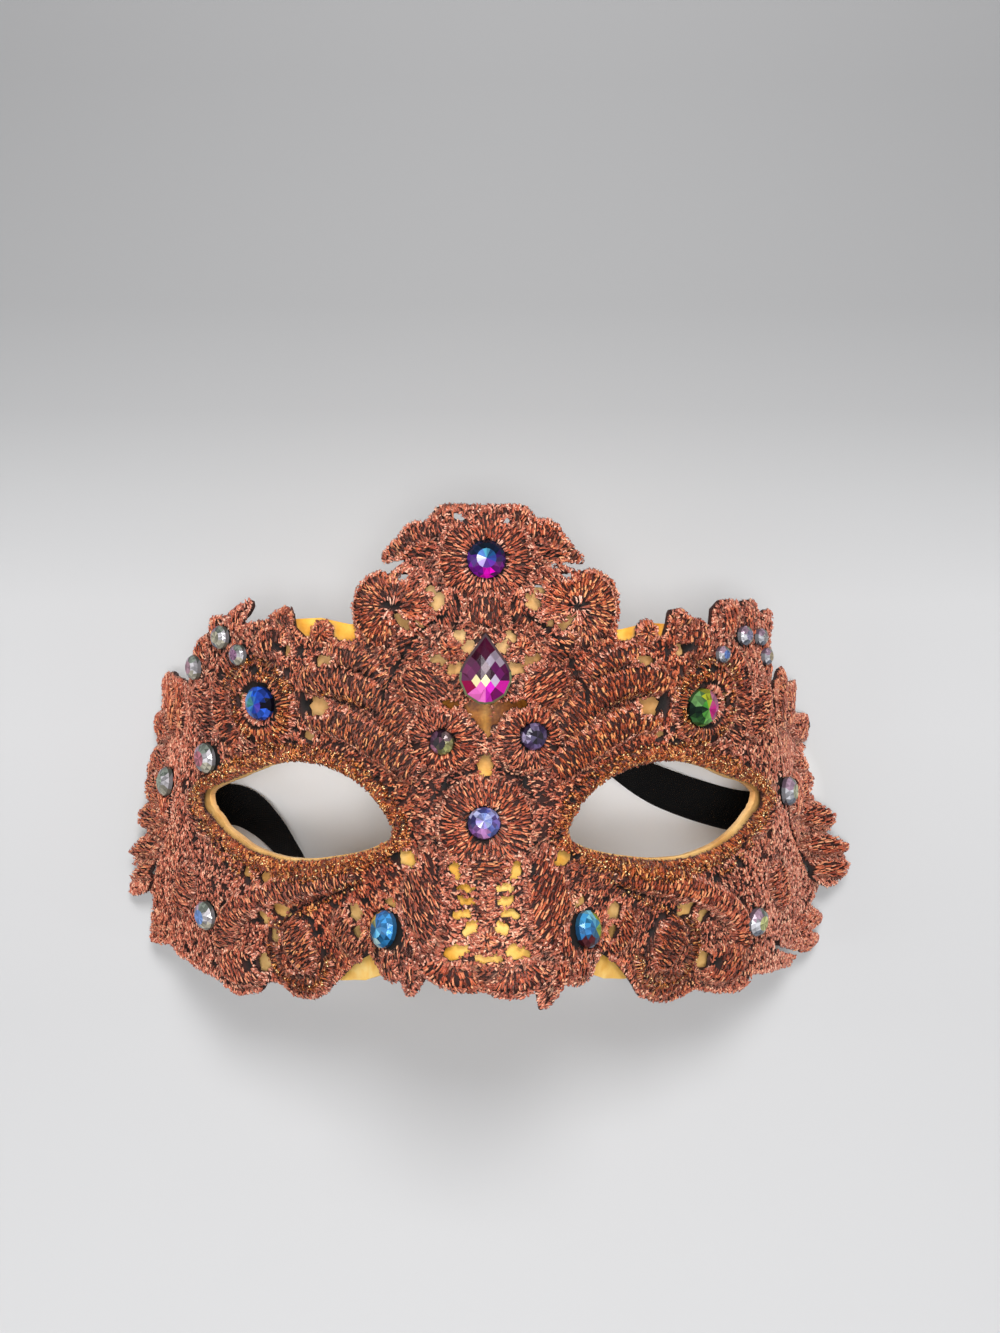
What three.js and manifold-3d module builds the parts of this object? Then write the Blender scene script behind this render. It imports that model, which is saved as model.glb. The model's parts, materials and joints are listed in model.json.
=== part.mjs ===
// A half mask of the Venetian colombina kind: a gold-painted papier-mache shell, dressed with rose
// guipure lace and foil-backed glass stones, with an elastic strap. It lies face up on the rear
// edges of its two sides. Millimetres; +Z up; +Y towards the crest; the origin is on the floor.
import * as THREE from "three";
import { mergeVertices } from "three/addons/utils/BufferGeometryUtils.js";
import Module from "manifold-3d";

const wasm = await Module();
wasm.setup();

// Driving dimensions. Places on the face are (u, v): u is the arc length round the face from its
// middle, v the height on the face above the line through the eyes' outer corners.
const DEGREE = Math.PI / 180;
const ARCS = [
  { radius: 76, until: 40 * DEGREE },
  { radius: 86, until: 58 * DEGREE },
  { radius: 160, until: 90 * DEGREE },
];
const BROW_HEIGHT = 60.5;
const TEMPLE_PINCH = 3.5;
const MIDDLE = { x: 2.36, v: 5.16 };
const RELIEF = 1.3;

const SHELL_THICKNESS = 2;
const SHELL_HALF_GIRTH = 110;
const SHELL_TOP_DROP = { left: 0, right: 1.1 };
const LACE_UNDER = 0.5;
const LACE_THICKNESS = 1.1;
const LACE_REACH = 106;
const TOUCH_GAP = 0.3;
const STONE_GAP = 0.45;
const SEAM_GAP = 0.7;
const FLARE_START = 90;
const WING_FLARE = { left: 5, right: 9 };
const CORNER_FLARE = { left: 1.6, right: 3 };
const SEAM_SHIFT = { left: 1.3, right: -1.6 };

const STRAP_WIDTH = 10;
const STRAP_THICKNESS = 0.8;
const STRAP_STEPS = 52;
const STRAP_GAP = 0.9;
const FLOOR_GAP = 0.3;

// The form of the face
function section(u) {
  let left = Math.abs(u);
  let angle = 0;
  let x = 0;
  let z = BROW_HEIGHT;
  for (const { radius, until } of ARCS) {
    const end = Math.min(until, angle + left / radius);
    x += radius * (Math.sin(end) - Math.sin(angle));
    z -= radius * (Math.cos(angle) - Math.cos(end));
    left -= radius * (end - angle);
    angle = end;
  }
  return { x: Math.sign(u) * x, z, angle: Math.sign(u) * angle };
}

const smooth = (t) => THREE.MathUtils.smoothstep(t, 0, 1);

function standOut(u, v) {
  const a = Math.abs(u);
  const down = smooth((10 - v) / 42);
  const nose = (3 + 17 * down) * Math.exp(-((a / (11 + 9 * down)) ** 2.4));
  const forehead = v > 15 ? -((v - 15) ** 2) / 440 : 0;
  const cheekFall = v < -12 ? -((v + 12) ** 2) / 220 : 0;
  const cheek = cheekFall * smooth((a - 12) / 20) * (1 - 0.75 * smooth((a - 45) / 25));
  const socket = -2.5 * Math.exp(-(((a - 38) / 20) ** 2 + ((v + 2) / 15) ** 2));
  const pinch = -TEMPLE_PINCH * smooth((a - 62) / 40) * smooth((v + 12) / 24);
  return nose + forehead + cheek + socket + pinch;
}

function place(u, v, w) {
  const { x, z, angle } = section(u);
  const out = standOut(u, v) + w;
  return new THREE.Vector3(x + out * Math.sin(angle) - MIDDLE.x, v - MIDDLE.v, z + out * Math.cos(angle));
}

const sideOf = (u) => (u > 0 ? "right" : "left");

// Flat patterns. Each is a function of a place that is positive inside it, in millimetres.
const ellipse = (u, v, along, across, turn = 0) => {
  const cos = Math.cos(turn * DEGREE);
  const sin = Math.sin(turn * DEGREE);
  return (a, b) => {
    const x = (a - u) * cos + (b - v) * sin;
    const y = (b - v) * cos - (a - u) * sin;
    return (1 - Math.hypot(x / along, y / across)) * Math.min(along, across);
  };
};
const disc = (u, v, radius) => ellipse(u, v, radius, radius);

function distanceToPath(points, a, b) {
  let nearest = Infinity;
  for (let i = 1; i < points.length; i++) {
    const [u0, v0] = points[i - 1];
    const [du, dv] = [points[i][0] - u0, points[i][1] - v0];
    const t = ((a - u0) * du + (b - v0) * dv) / (du * du + dv * dv);
    const clamped = THREE.MathUtils.clamp(t, 0, 1);
    nearest = Math.min(nearest, Math.hypot(a - u0 - clamped * du, b - v0 - clamped * dv));
  }
  return nearest;
}
const band = (width, ...points) => (a, b) => width / 2 - distanceToPath(points, a, b);

function area(points) {
  const closed = [...points, points[0]];
  return (a, b) => {
    let inside = false;
    for (let i = 1; i < closed.length; i++) {
      const [u0, v0] = closed[i - 1];
      const [u1, v1] = closed[i];
      if (v0 > b !== v1 > b && a < ((u1 - u0) * (b - v0)) / (v1 - v0) + u0) inside = !inside;
    }
    return (inside ? 1 : -1) * distanceToPath(closed, a, b);
  };
}

function rounded(points, count) {
  const curve = new THREE.CatmullRomCurve3(points.map(([u, v]) => new THREE.Vector3(u, v, 0)), true);
  return curve.getSpacedPoints(count).slice(0, count).map((p) => [p.x, p.y]);
}

const mirrored = (form) => (u, v) => form(Math.abs(u), v);
const union = (forms) => (u, v) => Math.max(...forms.map((form) => form(u, v)));

// These outlines are given for one side and mirrored.
const EYE = [
  [69.3, -4.8], [57, 0.8], [45, 5], [36, 5.4], [27.5, 2.7], [21, -3], [18.4, -7.9],
  [22.5, -11], [33, -14.2], [43.5, -15.6], [55, -14], [65, -9.4],
];
const SHELL = [
  [-1, 43.3], [12, 42.8], [20, 38], [27, 33.9], [35, 35.2], [44, 34.6], [58, 30], [68, 25.5], [78, 19.5],
  [90, 15], [99, 9], [108, 5], [109, -10], [108, -27], [97, -36], [85, -40], [70, -42], [55, -42.4], [41, -42],
  [30, -40], [24, -38.1], [19, -35], [14, -32], [8, -30.4], [-1, -30.2],
];
const SEAM = [
  [80, 37], [77, 30], [74.6, 24], [73.6, 20], [76.7, 11], [79.2, 4], [80, -3], [84.8, -15.3], [91, -21],
  [98.4, -28.8], [110, -33],
];

// The lace's outlines differ from side to side: the layer over the face and the one behind the seam.
const FRONT_LACE = {
  left: [
    [-1, 58], [8, 58.2], [11.9, 54.8], [16.3, 53.8], [17.5, 51.7], [20.9, 47.5], [15, 46.9], [19, 44.6],
    [23.6, 44.1], [25.8, 42.1], [26.6, 36.4], [26.2, 31.2], [30, 31], [34, 34.4], [37.6, 31.4], [40.6, 35.4],
    [42.1, 37.1], [44.7, 36.6], [47.8, 34.4], [53, 33.2], [52.2, 37.4], [53.9, 38.3], [58.4, 34.4], [63.4, 34],
    [65.4, 31.2], [71.4, 27.8], [75, 22.6], [86, 14], [92, -4], [98, -18], [105, -29], [98, -33], [99, -37], [101.2, -43.2],
    [89.6, -42.6], [83.9, -44.1], [67.5, -44.8], [60.3, -47.8], [53.9, -46.1], [50, -43.2], [44.5, -45.6],
    [37.9, -44.8], [33, -41], [27, -35.3], [21, -30.6], [16, -35], [14.3, -33.5], [12.4, -36.2], [9.4, -31.8],
    [4.7, -33.8], [-1, -33.2],
  ],
  right: [
    [-1, 58], [7.5, 58], [10.4, 55.2], [14.7, 54.2], [16.7, 50.7], [19.6, 47.9], [15, 46.7], [19.6, 45],
    [24, 44.7], [26.5, 42.6], [27.6, 38.6], [26.4, 31.6], [30, 31], [34, 34.4], [37.4, 31.4], [39.3, 36.7],
    [41.7, 37], [44.7, 34.6], [47.5, 34.6], [50.4, 32], [51.4, 36.6], [53.8, 38.3], [57.1, 38.3], [60.5, 37.6], [65.7, 38],
    [68.5, 35.1], [74.8, 34.5], [72.8, 28.8], [73.2, 23], [84, 14], [90, -4], [96, -18], [104, -28.6],
    [98.1, -35.7], [104, -40.6], [102.7, -46.7], [93.9, -46.6], [87.8, -48], [80.1, -47.2], [68, -45.4],
    [62.8, -48.2], [50.7, -45.6], [45.6, -47.5], [39.8, -46.7], [34.8, -44.4], [27, -35.3], [21, -31],
    [18.5, -35.6], [12.4, -34], [10, -37.4], [8.3, -38.1], [7.5, -33.8], [2.6, -34.9], [-1, -33.4],
  ],
};
const WING_LACE = {
  left: [
    [73, 14], [76, 19], [86, 19.4], [96.5, 19.4], [99, 17.3], [99.4, 11.9], [103.3, 8.6], [100.2, 0.4],
    [104.6, -3.1], [103.6, -5.6], [98.2, -8.6], [99.9, -13.3], [96.8, -17.6], [102.3, -23.3], [99, -25.8],
    [104.2, -31.6], [96, -31], [88, -20], [76, -6],
  ],
  right: [
    [73, 14], [75.2, 19.2], [81.4, 21.8], [83.4, 20], [87.5, 17.6], [95.4, 17.5], [94, 10.4], [103, 8.6],
    [106.6, 6.4], [94, 0.8], [98.8, -4], [94.6, -8.3], [101.5, -14.2], [98.4, -18.6], [102.7, -22.6],
    [104.2, -26.4], [100.5, -30.6], [94, -28], [84, -14], [76, -6],
  ],
};
const EYE_SHIFT = { left: 0.4, right: 2.6 };
const eye = area(rounded(EYE, 40));
const eyeHole = (u, v) => eye(Math.abs(u) + EYE_SHIFT[sideOf(u)] * (1 - smooth((Math.abs(u) - 17) / 42)), v);
const EYE_RIM_WIDTH = 4.5;
const TEMPLE_FLOWER = { u: 48.8, v: 16.7, inner: 4.7, outer: 9.4 };

// Raised embroidery: the forms that stand up from the lace's net, with the height of each
const PETALS = [
  { form: band(6, [-8.3, 54.8], [8.3, 54.8]), rise: 0.7 },
  { form: disc(0, 47.2, 9.6), rise: 0.8 },
  { form: band(6.6, [9, 51.3], [14.4, 51.5]), rise: 0.7 },
  { form: ellipse(14.6, 48.9, 7, 2.6, -20), rise: 0.8 },
  { form: ellipse(13.2, 44.3, 4.6, 1.5, 5), rise: 0.4 },
  { form: disc(18.2, 37.7, 8.5), rise: 1.1 },
  { form: ellipse(0, 37.3, 4.6, 4), rise: 0.9 },
  { form: ellipse(7.2, 37.6, 3.4, 4.4, 25), rise: 0.8 },
  { form: disc(6.6, 29.6, 2.8), rise: 0.8 },
  { form: ellipse(11.2, 22.4, 5.8, 4.4, 35), rise: 1 },
  { form: ellipse(14.6, 29.6, 4.6, 3, 48), rise: 0.8 },
  { form: disc(8.4, 12, 6.7), rise: 1.1 },
  { form: disc(0.2, -3.8, 8.8), rise: 1 },
  { form: band(6.4, [19.5, 20], [25.5, 26.6], [33, 28]), rise: 1 },
  { form: band(7, [16, 13], [23.5, 19], [34, 23.6], [39, 22]), rise: 1.1 },
  { form: band(7, [14.5, 5.5], [22, 9.4], [30.5, 14.6], [37.5, 15.4]), rise: 1.2 },
  { form: disc(33.6, 32, 2.5), rise: 0.6 },
  { form: ellipse(42.6, 34.2, 2.4, 3.2, 20), rise: 0.5 },
  { form: band(6, [27, -16.6], [38, -19.6], [47, -22.8], [55, -26.6], [61, -32], [62.5, -39]), rise: 1.1 },
  { form: ellipse(40, -33.6, 4.2, 5.6), rise: 1.1 },
  { form: band(3, [46.5, -29], [48, -36], [46, -42], [40, -44], [34, -41.5], [31.5, -35.5]), rise: 0.8 },
  { form: ellipse(57.5, -40.8, 7, 4.8, -10), rise: 0.9 },
  { form: ellipse(26, -29, 6.5, 4.4, 35), rise: 0.8 },
  { form: ellipse(10.6, -18, 4.4, 10, 4), rise: 1.1 },
  { form: disc(4.3, -29.4, 5), rise: 0.9 },
  { form: ellipse(12, -32.6, 1.7, 3.6), rise: 0.3 },
  { form: ellipse(16.7, -32, 2.2, 3.2), rise: 0.3 },
  { form: ellipse(70, -9, 6.5, 4, 40), rise: 0.7 },
  { form: ellipse(78, -27, 8, 4.5, -50), rise: 0.8 },
  { form: ellipse(67, 14, 7, 4.5, 60), rise: 0.8 },
];
const FEATHERS = [
  ellipse(81, 14.6, 7.6, 3, 84), ellipse(89.5, 12.6, 7, 3, 72), ellipse(98, 6.8, 7.2, 3.2, 12),
  ellipse(96, -0.6, 6.6, 3.2, 4), ellipse(96, -7, 7.2, 3.6, -4), ellipse(97, -13.6, 7.4, 3.2, -10),
  ellipse(99, -21, 8, 2.6, -8), ellipse(100, -27, 8.4, 2.4, -12),
];
const CORNER_FEATHERS = [ellipse(98, -39.4, 7, 2.6, -4), ellipse(97, -44.4, 7, 2.4, -4)];

// Openings of the net through which the gold shows
const WINDOWS = [
  ellipse(0, 16.3, 4.4, 2.7), ellipse(3.3, -16.5, 1.5, 3.2), ellipse(2.6, -24.6, 1.8, 2.2, 30),
  ellipse(14.4, -11.4, 2.2, 1.5), ellipse(26.3, -23.4, 1.9, 1.6), ellipse(36.2, 18.6, 2.4, 1.6),
  ellipse(49.9, -20.2, 2, 1.5), ellipse(50.6, -28.6, 2.2, 1.6), ellipse(50, -37.6, 1.4, 2.3),
  ellipse(35, -30.2, 1.4, 1.9), ellipse(61.4, -14.5, 1.4, 1.8), ellipse(58.6, 19.6, 1.5, 1.6),
  ellipse(9.8, 39.8, 1.8, 1.5),
];

// Glass stones: place and radius of each, the leftmost first in each pair
const STONES = [
  ["crest_stone", 0.2, 47.4, 4.1],
  ["bridge_stone", -0.3, -3.8, 3.2],
  ["left_flower_stone", -8, 11.5, 2.5],
  ["right_flower_stone", 9, 12.6, 2.9],
  ["left_temple_stone", -48.1, 17.2, 4],
  ["right_temple_stone", 47, 16.3, 4],
  ["left_cheek_stone", -17.4, -24.9, 3.7],
  ["right_cheek_stone", 17.5, -25.1, 3.7],
  ["left_side_stone_1", -54.4, 26.9, 2.5],
  ["left_side_stone_2", -60.2, 30.2, 2.7],
  ["left_side_stone_3", -70.3, 23.1, 2.7],
  ["left_side_stone_4", -66.1, 3.9, 3.3],
  ["left_side_stone_5", -86.7, -4.2, 3.3],
  ["left_side_stone_6", -67.4, -30.9, 3.2],
  ["right_side_stone_1", 52.5, 27, 2.2],
  ["right_side_stone_2", 59.8, 30.5, 2.3],
  ["right_side_stone_3", 65.9, 29.9, 2.2],
  ["right_side_stone_4", 67.9, 25.5, 2.2],
  ["right_side_stone_5", 80.6, -5.9, 3.3],
  ["right_side_stone_6", 66.8, -32.8, 3.2],
];
const TEARDROP = { u: 0, v: 24.4, radius: 4.9, point: 8.3 };
const STONE_SIDES = 8;
const STONE_GIRDLE = 0.7;
const STONE_RISE = 0.42;
const STONE_TABLE = 0.55;

// The strap's route: its place on the floor and how far it is rolled on its edge, in degrees
const STRAP_ROUTE = [
  [-67.5, -11.6, 0], [-62, -12.4, 0], [-56.5, -13.2, 8], [-51, -17, 30], [-46, -22.8, 48], [-40.5, -29.4, 66],
  [-33, -35, 84], [-23, -37.4, 90], [-12, -34.6, 90], [-5, -26, 90], [-2.5, -14, 90], [-4, 0, 90], [-7, 14, 90],
  [-6, 27, 90], [1.5, 35, 90], [11, 35, 90], [17.5, 27.5, 90], [20.5, 16, 82], [24.5, 6.4, 66], [30, -0.6, 48],
  [36, -5, 32], [43, -8.8, 14], [52, -12.2, 4], [61, -14.6, 0], [67.5, -15, 0],
];
const STRAP_WALL = [84, 88.5, 93];

// Solids
function solidOf(geometry) {
  const bare = geometry.clone();
  bare.deleteAttribute("normal");
  bare.deleteAttribute("uv");
  const merged = mergeVertices(bare, 1e-3);
  return new wasm.Manifold(new wasm.Mesh({
    numProp: 3,
    vertProperties: new Float32Array(merged.attributes.position.array),
    triVerts: new Uint32Array(merged.index.array),
  }));
}

function geometryOf(solid) {
  const { vertProperties, triVerts } = solid.getMesh();
  const geometry = new THREE.BufferGeometry();
  geometry.setAttribute("position", new THREE.BufferAttribute(vertProperties, 3));
  geometry.setIndex(new THREE.BufferAttribute(triVerts, 1));
  return geometry;
}

function cutBelow(geometry, level) {
  const block = new THREE.BoxGeometry(400, 400, 100).translate(0, 0, level - 50);
  return geometryOf(solidOf(geometry).subtract(solidOf(block)));
}

// Grid lines that are close in the middle of the face, where it bends most, and wider at its sides
function gridLines(reach, step, growth) {
  const lines = [];
  for (let i = 0; lines.length === 0 || lines[lines.length - 1] < reach; i++) {
    lines.push(step * i + growth * i * i);
  }
  return lines.slice(1).reverse().map((u) => -u).concat(lines);
}

// A sheet of the face that covers the places where covers(u, v) is positive, from under to over
function sheet(covers, under, over, { reach, step, growth, low, high }) {
  const us = gridLines(reach, step, growth);
  const rows = Math.ceil((high - low) / step);
  const flat = [];
  const index = new Map();
  const vertex = (key, u, v) => {
    if (!index.has(key)) {
      index.set(key, flat.length);
      flat.push([u, v]);
    }
    return index.get(key);
  };
  const node = (i, j) => {
    const [u, v] = [us[i], low + j * step];
    return { id: i * (rows + 1) + j, u, v, cover: covers(u, v) || -1e-6 };
  };
  const nodes = us.map((_, i) => Array.from({ length: rows + 1 }, (__, j) => node(i, j)));
  const crossing = (p, q) => {
    const [a, b] = p.id < q.id ? [p, q] : [q, p];
    const t = THREE.MathUtils.clamp(a.cover / (a.cover - b.cover), 0.1, 0.9);
    return vertex(`${a.id}-${b.id}`, a.u + t * (b.u - a.u), a.v + t * (b.v - a.v));
  };
  const faces = [];
  const edges = [];
  const clip = (corners) => {
    const ring = [];
    let [leave, enter] = [-1, -1];
    corners.forEach((p, k) => {
      const q = corners[(k + 1) % 3];
      if (p.cover > 0) ring.push(vertex(`${p.id}`, p.u, p.v));
      if (p.cover > 0 !== q.cover > 0) {
        const at = crossing(p, q);
        ring.push(at);
        if (p.cover > 0) leave = at;
        else enter = at;
      }
    });
    for (let k = 2; k < ring.length; k++) faces.push([ring[0], ring[k - 1], ring[k]]);
    if (leave >= 0) edges.push([leave, enter]);
  };
  for (let i = 0; i + 1 < us.length; i++) {
    for (let j = 0; j < rows; j++) {
      const [a, b, c, d] = [nodes[i][j], nodes[i + 1][j], nodes[i + 1][j + 1], nodes[i][j + 1]];
      if ((us[i] < 0) === (j % 2 === 0)) {
        clip([a, b, c]);
        clip([a, c, d]);
      } else {
        clip([a, b, d]);
        clip([b, c, d]);
      }
    }
  }
  const kept = largestPart(faces, flat.length);
  const positions = [];
  for (const [u, v] of flat) positions.push(...place(u, v, over(u, v)).toArray());
  for (const [u, v] of flat) positions.push(...place(u, v, under(u, v)).toArray());
  const n = flat.length;
  const triangles = [];
  for (const [a, b, c] of faces.filter((face) => kept[face[0]])) {
    triangles.push(a, b, c, a + n, c + n, b + n);
  }
  for (const [p, q] of edges.filter((edge) => kept[edge[0]])) {
    triangles.push(p + n, q + n, q, p + n, q, p);
  }
  const geometry = new THREE.BufferGeometry();
  geometry.setAttribute("position", new THREE.Float32BufferAttribute(positions, 3));
  geometry.setIndex(triangles);
  return geometry;
}

// Marks the vertices of the largest connected part, so that a scrap of net is not left loose.
function largestPart(faces, count) {
  const parent = Array.from({ length: count }, (_, i) => i);
  const top = (i) => {
    while (parent[i] !== i) i = parent[i];
    return i;
  };
  for (const [a, b, c] of faces) {
    parent[top(b)] = top(a);
    parent[top(c)] = top(a);
  }
  const sizes = new Array(count).fill(0);
  for (const [a] of faces) sizes[top(a)] += 1;
  const largest = sizes.indexOf(Math.max(...sizes));
  return parent.map((_, i) => top(i) === largest);
}

// The papier-mache shell, cut flat where it rests
function maskBase() {
  const outline = mirrored(area(SHELL));
  const dropped = (u, v) => v + SHELL_TOP_DROP[sideOf(u)] * smooth((v - 20) / 10);
  const covers = (u, v) => Math.min(outline(u, dropped(u, v)), -eyeHole(u, v) + 0.6);
  const geometry = sheet(covers, () => -SHELL_THICKNESS, () => 0, {
    reach: SHELL_HALF_GIRTH, step: 5.8, growth: 0.1, low: -44, high: 46,
  });
  return cutBelow(geometry, 0);
}

// The lace
const inFront = area([[-9, 80], [80, 80], ...SEAM, [110, -60], [-9, -60]]);
const fromSeam = (u, v) => inFront(Math.abs(u) - SEAM_SHIFT[sideOf(u)], v);
const sideForms = (outlines) => {
  const [left, right] = [area(outlines.left), area(outlines.right)];
  return (u, v) => (u > 0 ? right : left)(Math.abs(u), v);
};
const frontOutline = sideForms(FRONT_LACE);
const wingOutline = sideForms(WING_LACE);
const seatOf = ([, u, v, radius]) => disc(u, v, radius + 1.2);
const seats = union([...STONES.map(seatOf), ellipse(0, 25.6, 6.4, 8.8)]);
const windows = mirrored(union(WINDOWS));
const corners = union(CORNER_FEATHERS);
const feathers = union(FEATHERS);

function relief(u, v) {
  const a = Math.abs(u);
  let rise = 0;
  for (const petal of PETALS) {
    const depth = THREE.MathUtils.clamp(petal.form(a, v) / 3, 0, 1);
    rise = Math.max(rise, RELIEF * petal.rise * Math.sqrt(1 - (1 - depth) ** 2));
  }
  rise = Math.max(rise, featherRise(corners(a, v)));
  const rim = -eyeHole(u, v);
  if (rim > 0 && rim < EYE_RIM_WIDTH) rise = Math.max(rise, 0.7 * Math.sin((Math.PI * rim) / EYE_RIM_WIDTH));
  const fromTemple = Math.hypot(a - TEMPLE_FLOWER.u, v - TEMPLE_FLOWER.v);
  const { inner, outer } = TEMPLE_FLOWER;
  if (fromTemple > inner && fromTemple < outer) {
    rise = Math.max(rise, 0.8 * Math.sin((Math.PI * (fromTemple - inner)) / (outer - inner)));
  }
  return rise * (1 - smooth(seats(u, v) / 1.2 + 1));
}

// How far the lace's underside stands off the shell, with the feather tips bent outwards at the rear
const outward = (u) => smooth((Math.abs(u) - FLARE_START) / (LACE_REACH - FLARE_START));
const cornerUnder = (u) => LACE_UNDER + CORNER_FLARE[sideOf(u)] * outward(u);
const wingUnder = (u, v) => {
  const lower = smooth((-5 - v) / 16);
  return LACE_UNDER + WING_FLARE[sideOf(u)] * outward(u) * (0.1 + 0.9 * lower);
};

function frontLace() {
  const covers = (u, v) => Math.min(
    frontOutline(u, v),
    fromSeam(u, v),
    -eyeHole(u, v),
    Math.max(-windows(u, v), seats(u, v)),
  );
  return cutBelow(laceSheet(covers, cornerUnder, relief), TOUCH_GAP);
}

function laceSheet(covers, under, rise) {
  const over = (u, v) => under(u, v) + LACE_THICKNESS + rise(u, v);
  return sheet(covers, under, over, { reach: LACE_REACH + 4, step: 3.6, growth: 0.045, low: -51.1, high: 60 });
}

// One side's own layer of lace, behind the seam
function wingLace(side) {
  const covers = (u, v) => (sideOf(u) === side ? Math.min(wingOutline(u, v), -SEAM_GAP - fromSeam(u, v)) : -10);
  return cutBelow(laceSheet(covers, wingUnder, wingRelief), TOUCH_GAP);
}

function featherRise(inside) {
  const depth = THREE.MathUtils.clamp(inside / 3, 0, 1);
  return 0.9 * Math.sqrt(1 - (1 - depth) ** 2);
}

function wingRelief(u, v) {
  return featherRise(feathers(Math.abs(u), v)) * (1 - smooth(seats(u, v) / 1.2 + 1));
}

// The turn and place of something flat that sits on the face at (u, v), at height w
function seatMatrix(u, v, w) {
  const step = 0.5;
  const across = place(u + step, v, w).sub(place(u - step, v, w)).normalize();
  const up = place(u, v + step, w).sub(place(u, v - step, w)).normalize();
  const out = across.clone().cross(up).normalize();
  up.copy(out).cross(across).normalize();
  return new THREE.Matrix4().makeBasis(across, up, out).setPosition(place(u, v, w));
}

const SEAT_HEIGHT = LACE_UNDER + LACE_THICKNESS + STONE_GAP;

// A round stone with a girdle, a ring of crown facets and a flat table
function stoneGeometry(radius) {
  const height = STONE_RISE * radius + STONE_GIRDLE;
  const profile = [
    [0, 0], [radius, 0], [radius, STONE_GIRDLE],
    [radius * STONE_TABLE, height], [0, height],
  ];
  const geometry = new THREE.LatheGeometry(profile.map(([r, h]) => new THREE.Vector2(r, h)), STONE_SIDES);
  return geometry.rotateX(Math.PI / 2);
}

function teardropGeometry() {
  const { radius, point } = TEARDROP;
  const waist = Math.asin(radius / point);
  const inset = 1.3;
  const shape = new THREE.Shape();
  const small = radius - inset;
  shape.absarc(0, 0, small, Math.PI - waist, 2 * Math.PI + waist, false);
  shape.lineTo(0, small / Math.sin(waist));
  shape.closePath();
  return new THREE.ExtrudeGeometry(shape, {
    depth: STONE_GIRDLE, curveSegments: 10, bevelEnabled: true, bevelThickness: 1.4, bevelSize: inset,
    bevelSegments: 1,
  });
}

// The strap: a ribbon that leaves the inside of the left side, lies on the floor behind the face
// and goes back into the right side
function strapPoints() {
  const wall = (u, v) => ({ at: place(u, v, -SHELL_THICKNESS - STRAP_GAP - STRAP_THICKNESS / 2), roll: 0 });
  const off = (x, v, z) => ({ at: new THREE.Vector3(x - MIDDLE.x, v - MIDDLE.v, z), roll: 0 });
  const floor = ([x, v, roll]) => {
    const turn = roll * DEGREE;
    const z = (STRAP_WIDTH / 2) * Math.sin(turn) + (STRAP_THICKNESS / 2) * Math.cos(turn) + FLOOR_GAP;
    return { at: new THREE.Vector3(x - MIDDLE.x, v - MIDDLE.v, z), roll: turn };
  };
  return [
    ...STRAP_WALL.map((u) => wall(-u, -11)), off(-72.3, -11, 6), off(-71.2, -11.2, 2.3),
    ...STRAP_ROUTE.map(floor),
    off(71.2, -14.8, 2.3), off(72.3, -14.6, 6), ...[...STRAP_WALL].reverse().map((u) => wall(u, -14.5)),
  ];
}

function strapGeometry() {
  const points = strapPoints();
  const curve = new THREE.CatmullRomCurve3(points.map(({ at }) => at));
  const rolls = new THREE.CatmullRomCurve3(points.map(({ roll }, i) => new THREE.Vector3(i, roll, 0)));
  const positions = [];
  for (let i = 0; i <= STRAP_STEPS; i++) {
    const t = curve.getUtoTmapping(i / STRAP_STEPS);
    const at = curve.getPoint(t);
    const along = curve.getTangent(t);
    const roll = rolls.getPoint(t).y;
    const level = new THREE.Vector3(-along.y, along.x, 0).normalize();
    const width = level.multiplyScalar(Math.cos(roll)).add(new THREE.Vector3(0, 0, Math.sin(roll)));
    const face = along.clone().cross(width).normalize();
    for (const [across, out] of [[-1, -1], [1, -1], [1, 1], [-1, 1]]) {
      const corner = at.clone()
        .addScaledVector(width, (across * STRAP_WIDTH) / 2)
        .addScaledVector(face, (out * STRAP_THICKNESS) / 2);
      positions.push(corner.x, corner.y, corner.z);
    }
  }
  const triangles = [0, 2, 1, 0, 3, 2];
  for (let i = 0; i < STRAP_STEPS; i++) {
    for (let k = 0; k < 4; k++) {
      const [a, b] = [4 * i + k, 4 * i + ((k + 1) % 4)];
      triangles.push(a, b, b + 4, a, b + 4, a + 4);
    }
  }
  const end = 4 * STRAP_STEPS;
  triangles.push(end, end + 1, end + 2, end, end + 2, end + 3);
  const geometry = new THREE.BufferGeometry();
  geometry.setAttribute("position", new THREE.Float32BufferAttribute(positions, 3));
  geometry.setIndex(triangles);
  return geometry;
}

const GOLD_PAINT = new THREE.MeshStandardMaterial({ color: 0xc98a2e, roughness: 0.5, metalness: 0.35 });
const ROSE_LACE = new THREE.MeshStandardMaterial({ color: 0x9c5646, roughness: 0.75, metalness: 0 });
const BLACK_ELASTIC = new THREE.MeshStandardMaterial({ color: 0x101012, roughness: 0.8, metalness: 0 });
const CRYSTAL = new THREE.MeshStandardMaterial({ color: 0xc9c6d6, roughness: 0.08, metalness: 0.4 });
const BLUE_GLASS = new THREE.MeshStandardMaterial({ color: 0x2f6fc0, roughness: 0.08, metalness: 0.4 });
const PINK_GLASS = new THREE.MeshStandardMaterial({ color: 0xa02a80, roughness: 0.08, metalness: 0.4 });
const STONE_GLASS = {
  crest_stone: PINK_GLASS,
  left_temple_stone: BLUE_GLASS,
  right_temple_stone: BLUE_GLASS,
  left_cheek_stone: BLUE_GLASS,
  right_cheek_stone: BLUE_GLASS,
};

const mask = new THREE.Group();

function add(name, geometry, material) {
  const mesh = new THREE.Mesh(geometry, material);
  mesh.name = name;
  mask.add(mesh);
  return mesh;
}

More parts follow.
